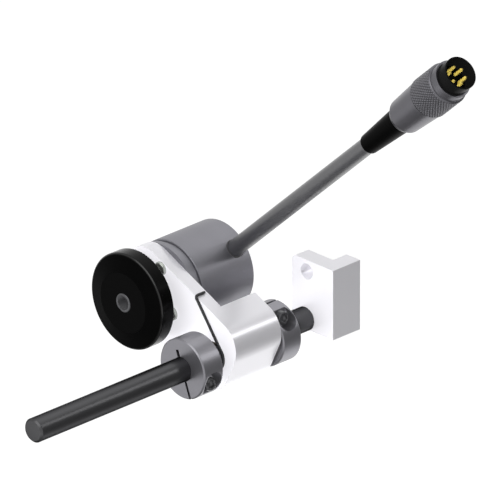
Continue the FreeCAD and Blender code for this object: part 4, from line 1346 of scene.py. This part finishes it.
def gloss_dome():
    """A wide graded card behind the object, which only gloss sees."""
    def back_half(bm):
        round_it, up_it = DOME_PARTS
        bmesh.ops.create_uvsphere(bm, u_segments=round_it, v_segments=up_it, radius=DOME_RADIUS)
        front = [v for v in bm.verts if v.co.y < DOME_FRONT]
        bmesh.ops.delete(bm, geom=front, context="VERTS")

    shader = Shader("dome_graded")
    place = shader.node("ShaderNodeSeparateXYZ", {0: shader.place()}).outputs
    turn = shader.maths("ARCTAN2", place["Z"], place["X"])
    share = shader.mapped(turn, (-math.pi, math.pi), (0, 1))
    stops = [((degrees + 180) / 360, grey(shade / DOME_PEAK)) for degrees, shade in DOME_SHADES]
    shader.set("Base Color", (0, 0, 0, 1))
    shader.set("Specular IOR Level", 0.0)
    shader.set("Emission Color", shader.ramp(share, stops, "EASE"))
    shader.set("Emission Strength", DOME_PEAK)
    card = staged("dome", back_half, shader.material)
    card.location = VIEW_TARGET
    card.visible_camera = False
    card.visible_diffuse = False
    card.visible_transmission = False
    card.visible_shadow = False


def world():
    """A pale backdrop, white at the horizon. Less of its light falls on the object."""
    sky = bpy.data.worlds.new("studio")
    sky.use_nodes = True
    nodes = Nodes(sky.node_tree)
    direction = nodes.node("ShaderNodeTexCoord").outputs["Generated"]
    height = nodes.node("ShaderNodeSeparateXYZ", {0: direction}).outputs["Z"]
    stops = list(zip(SKY_RISE, (grey(1), grey(SKY_TOP))))
    background = sky.node_tree.nodes["Background"].inputs
    strength = nodes.mapped(nodes.seen_rays(), (0, 1), (AMBIENT, 1.0))
    sky.node_tree.links.new(nodes.ramp(height, stops), background["Color"])
    sky.node_tree.links.new(strength, background["Strength"])
    bpy.context.scene.world = sky


# Direction from the object, distance, size, power, and whether gloss sees the lamp and it casts
# shadows: a wide soft key in front, two fills without shadows, and a small light for the edges
LAMPS = {
    "key": ((0.05, -0.70, 0.72), 1.3, 1.2, 7.0, True, True),
    "front": ((0.0, -1.0, 0.20), 1.3, 0.8, 19.0, False, False),
    "bounce": ((0.05, 0.10, -1.0), 1.3, 0.8, 16.0, False, False),
    "edge": ((0.593, 0.643, 0.483), 0.9, 0.12, 0.8, True, True),
}


def lamps():
    """Soft square lamps that face the object."""
    for name, (direction, distance, size, power, gloss, shadow) in LAMPS.items():
        data = bpy.data.lights.new(name, "AREA")
        data.shape = "SQUARE"
        data.size = size
        data.energy = power
        data.use_shadow = shadow
        light = placed(name, data)
        aimed(light, Vector(direction).normalized(), distance)
        light.visible_camera = False
        light.visible_glossy = gloss


camera()
cord_piece, cord_exit, cord_length = cable()
guide_rod()
mounting_bracket()
bracket_screw()
collars()
torsion_spring()
swing_arm()
bushes()
for screw_number, (screw_along, screw_across) in enumerate(screw_places(), 1):
    pan_screw(screw_number, screw_along, screw_across)
encoder_shell()
exit_ring()
encoder_shaft()
wheel()
set_screw()
on_cord = [bend_relief(), back_shell(), coupling(), *insert(), frame["nodes"]["connector_sleeve"]]
inner_pieces()
floor()
gloss_dome()
world()
lamps()
bpy.context.scene.view_settings.view_transform = "Standard"
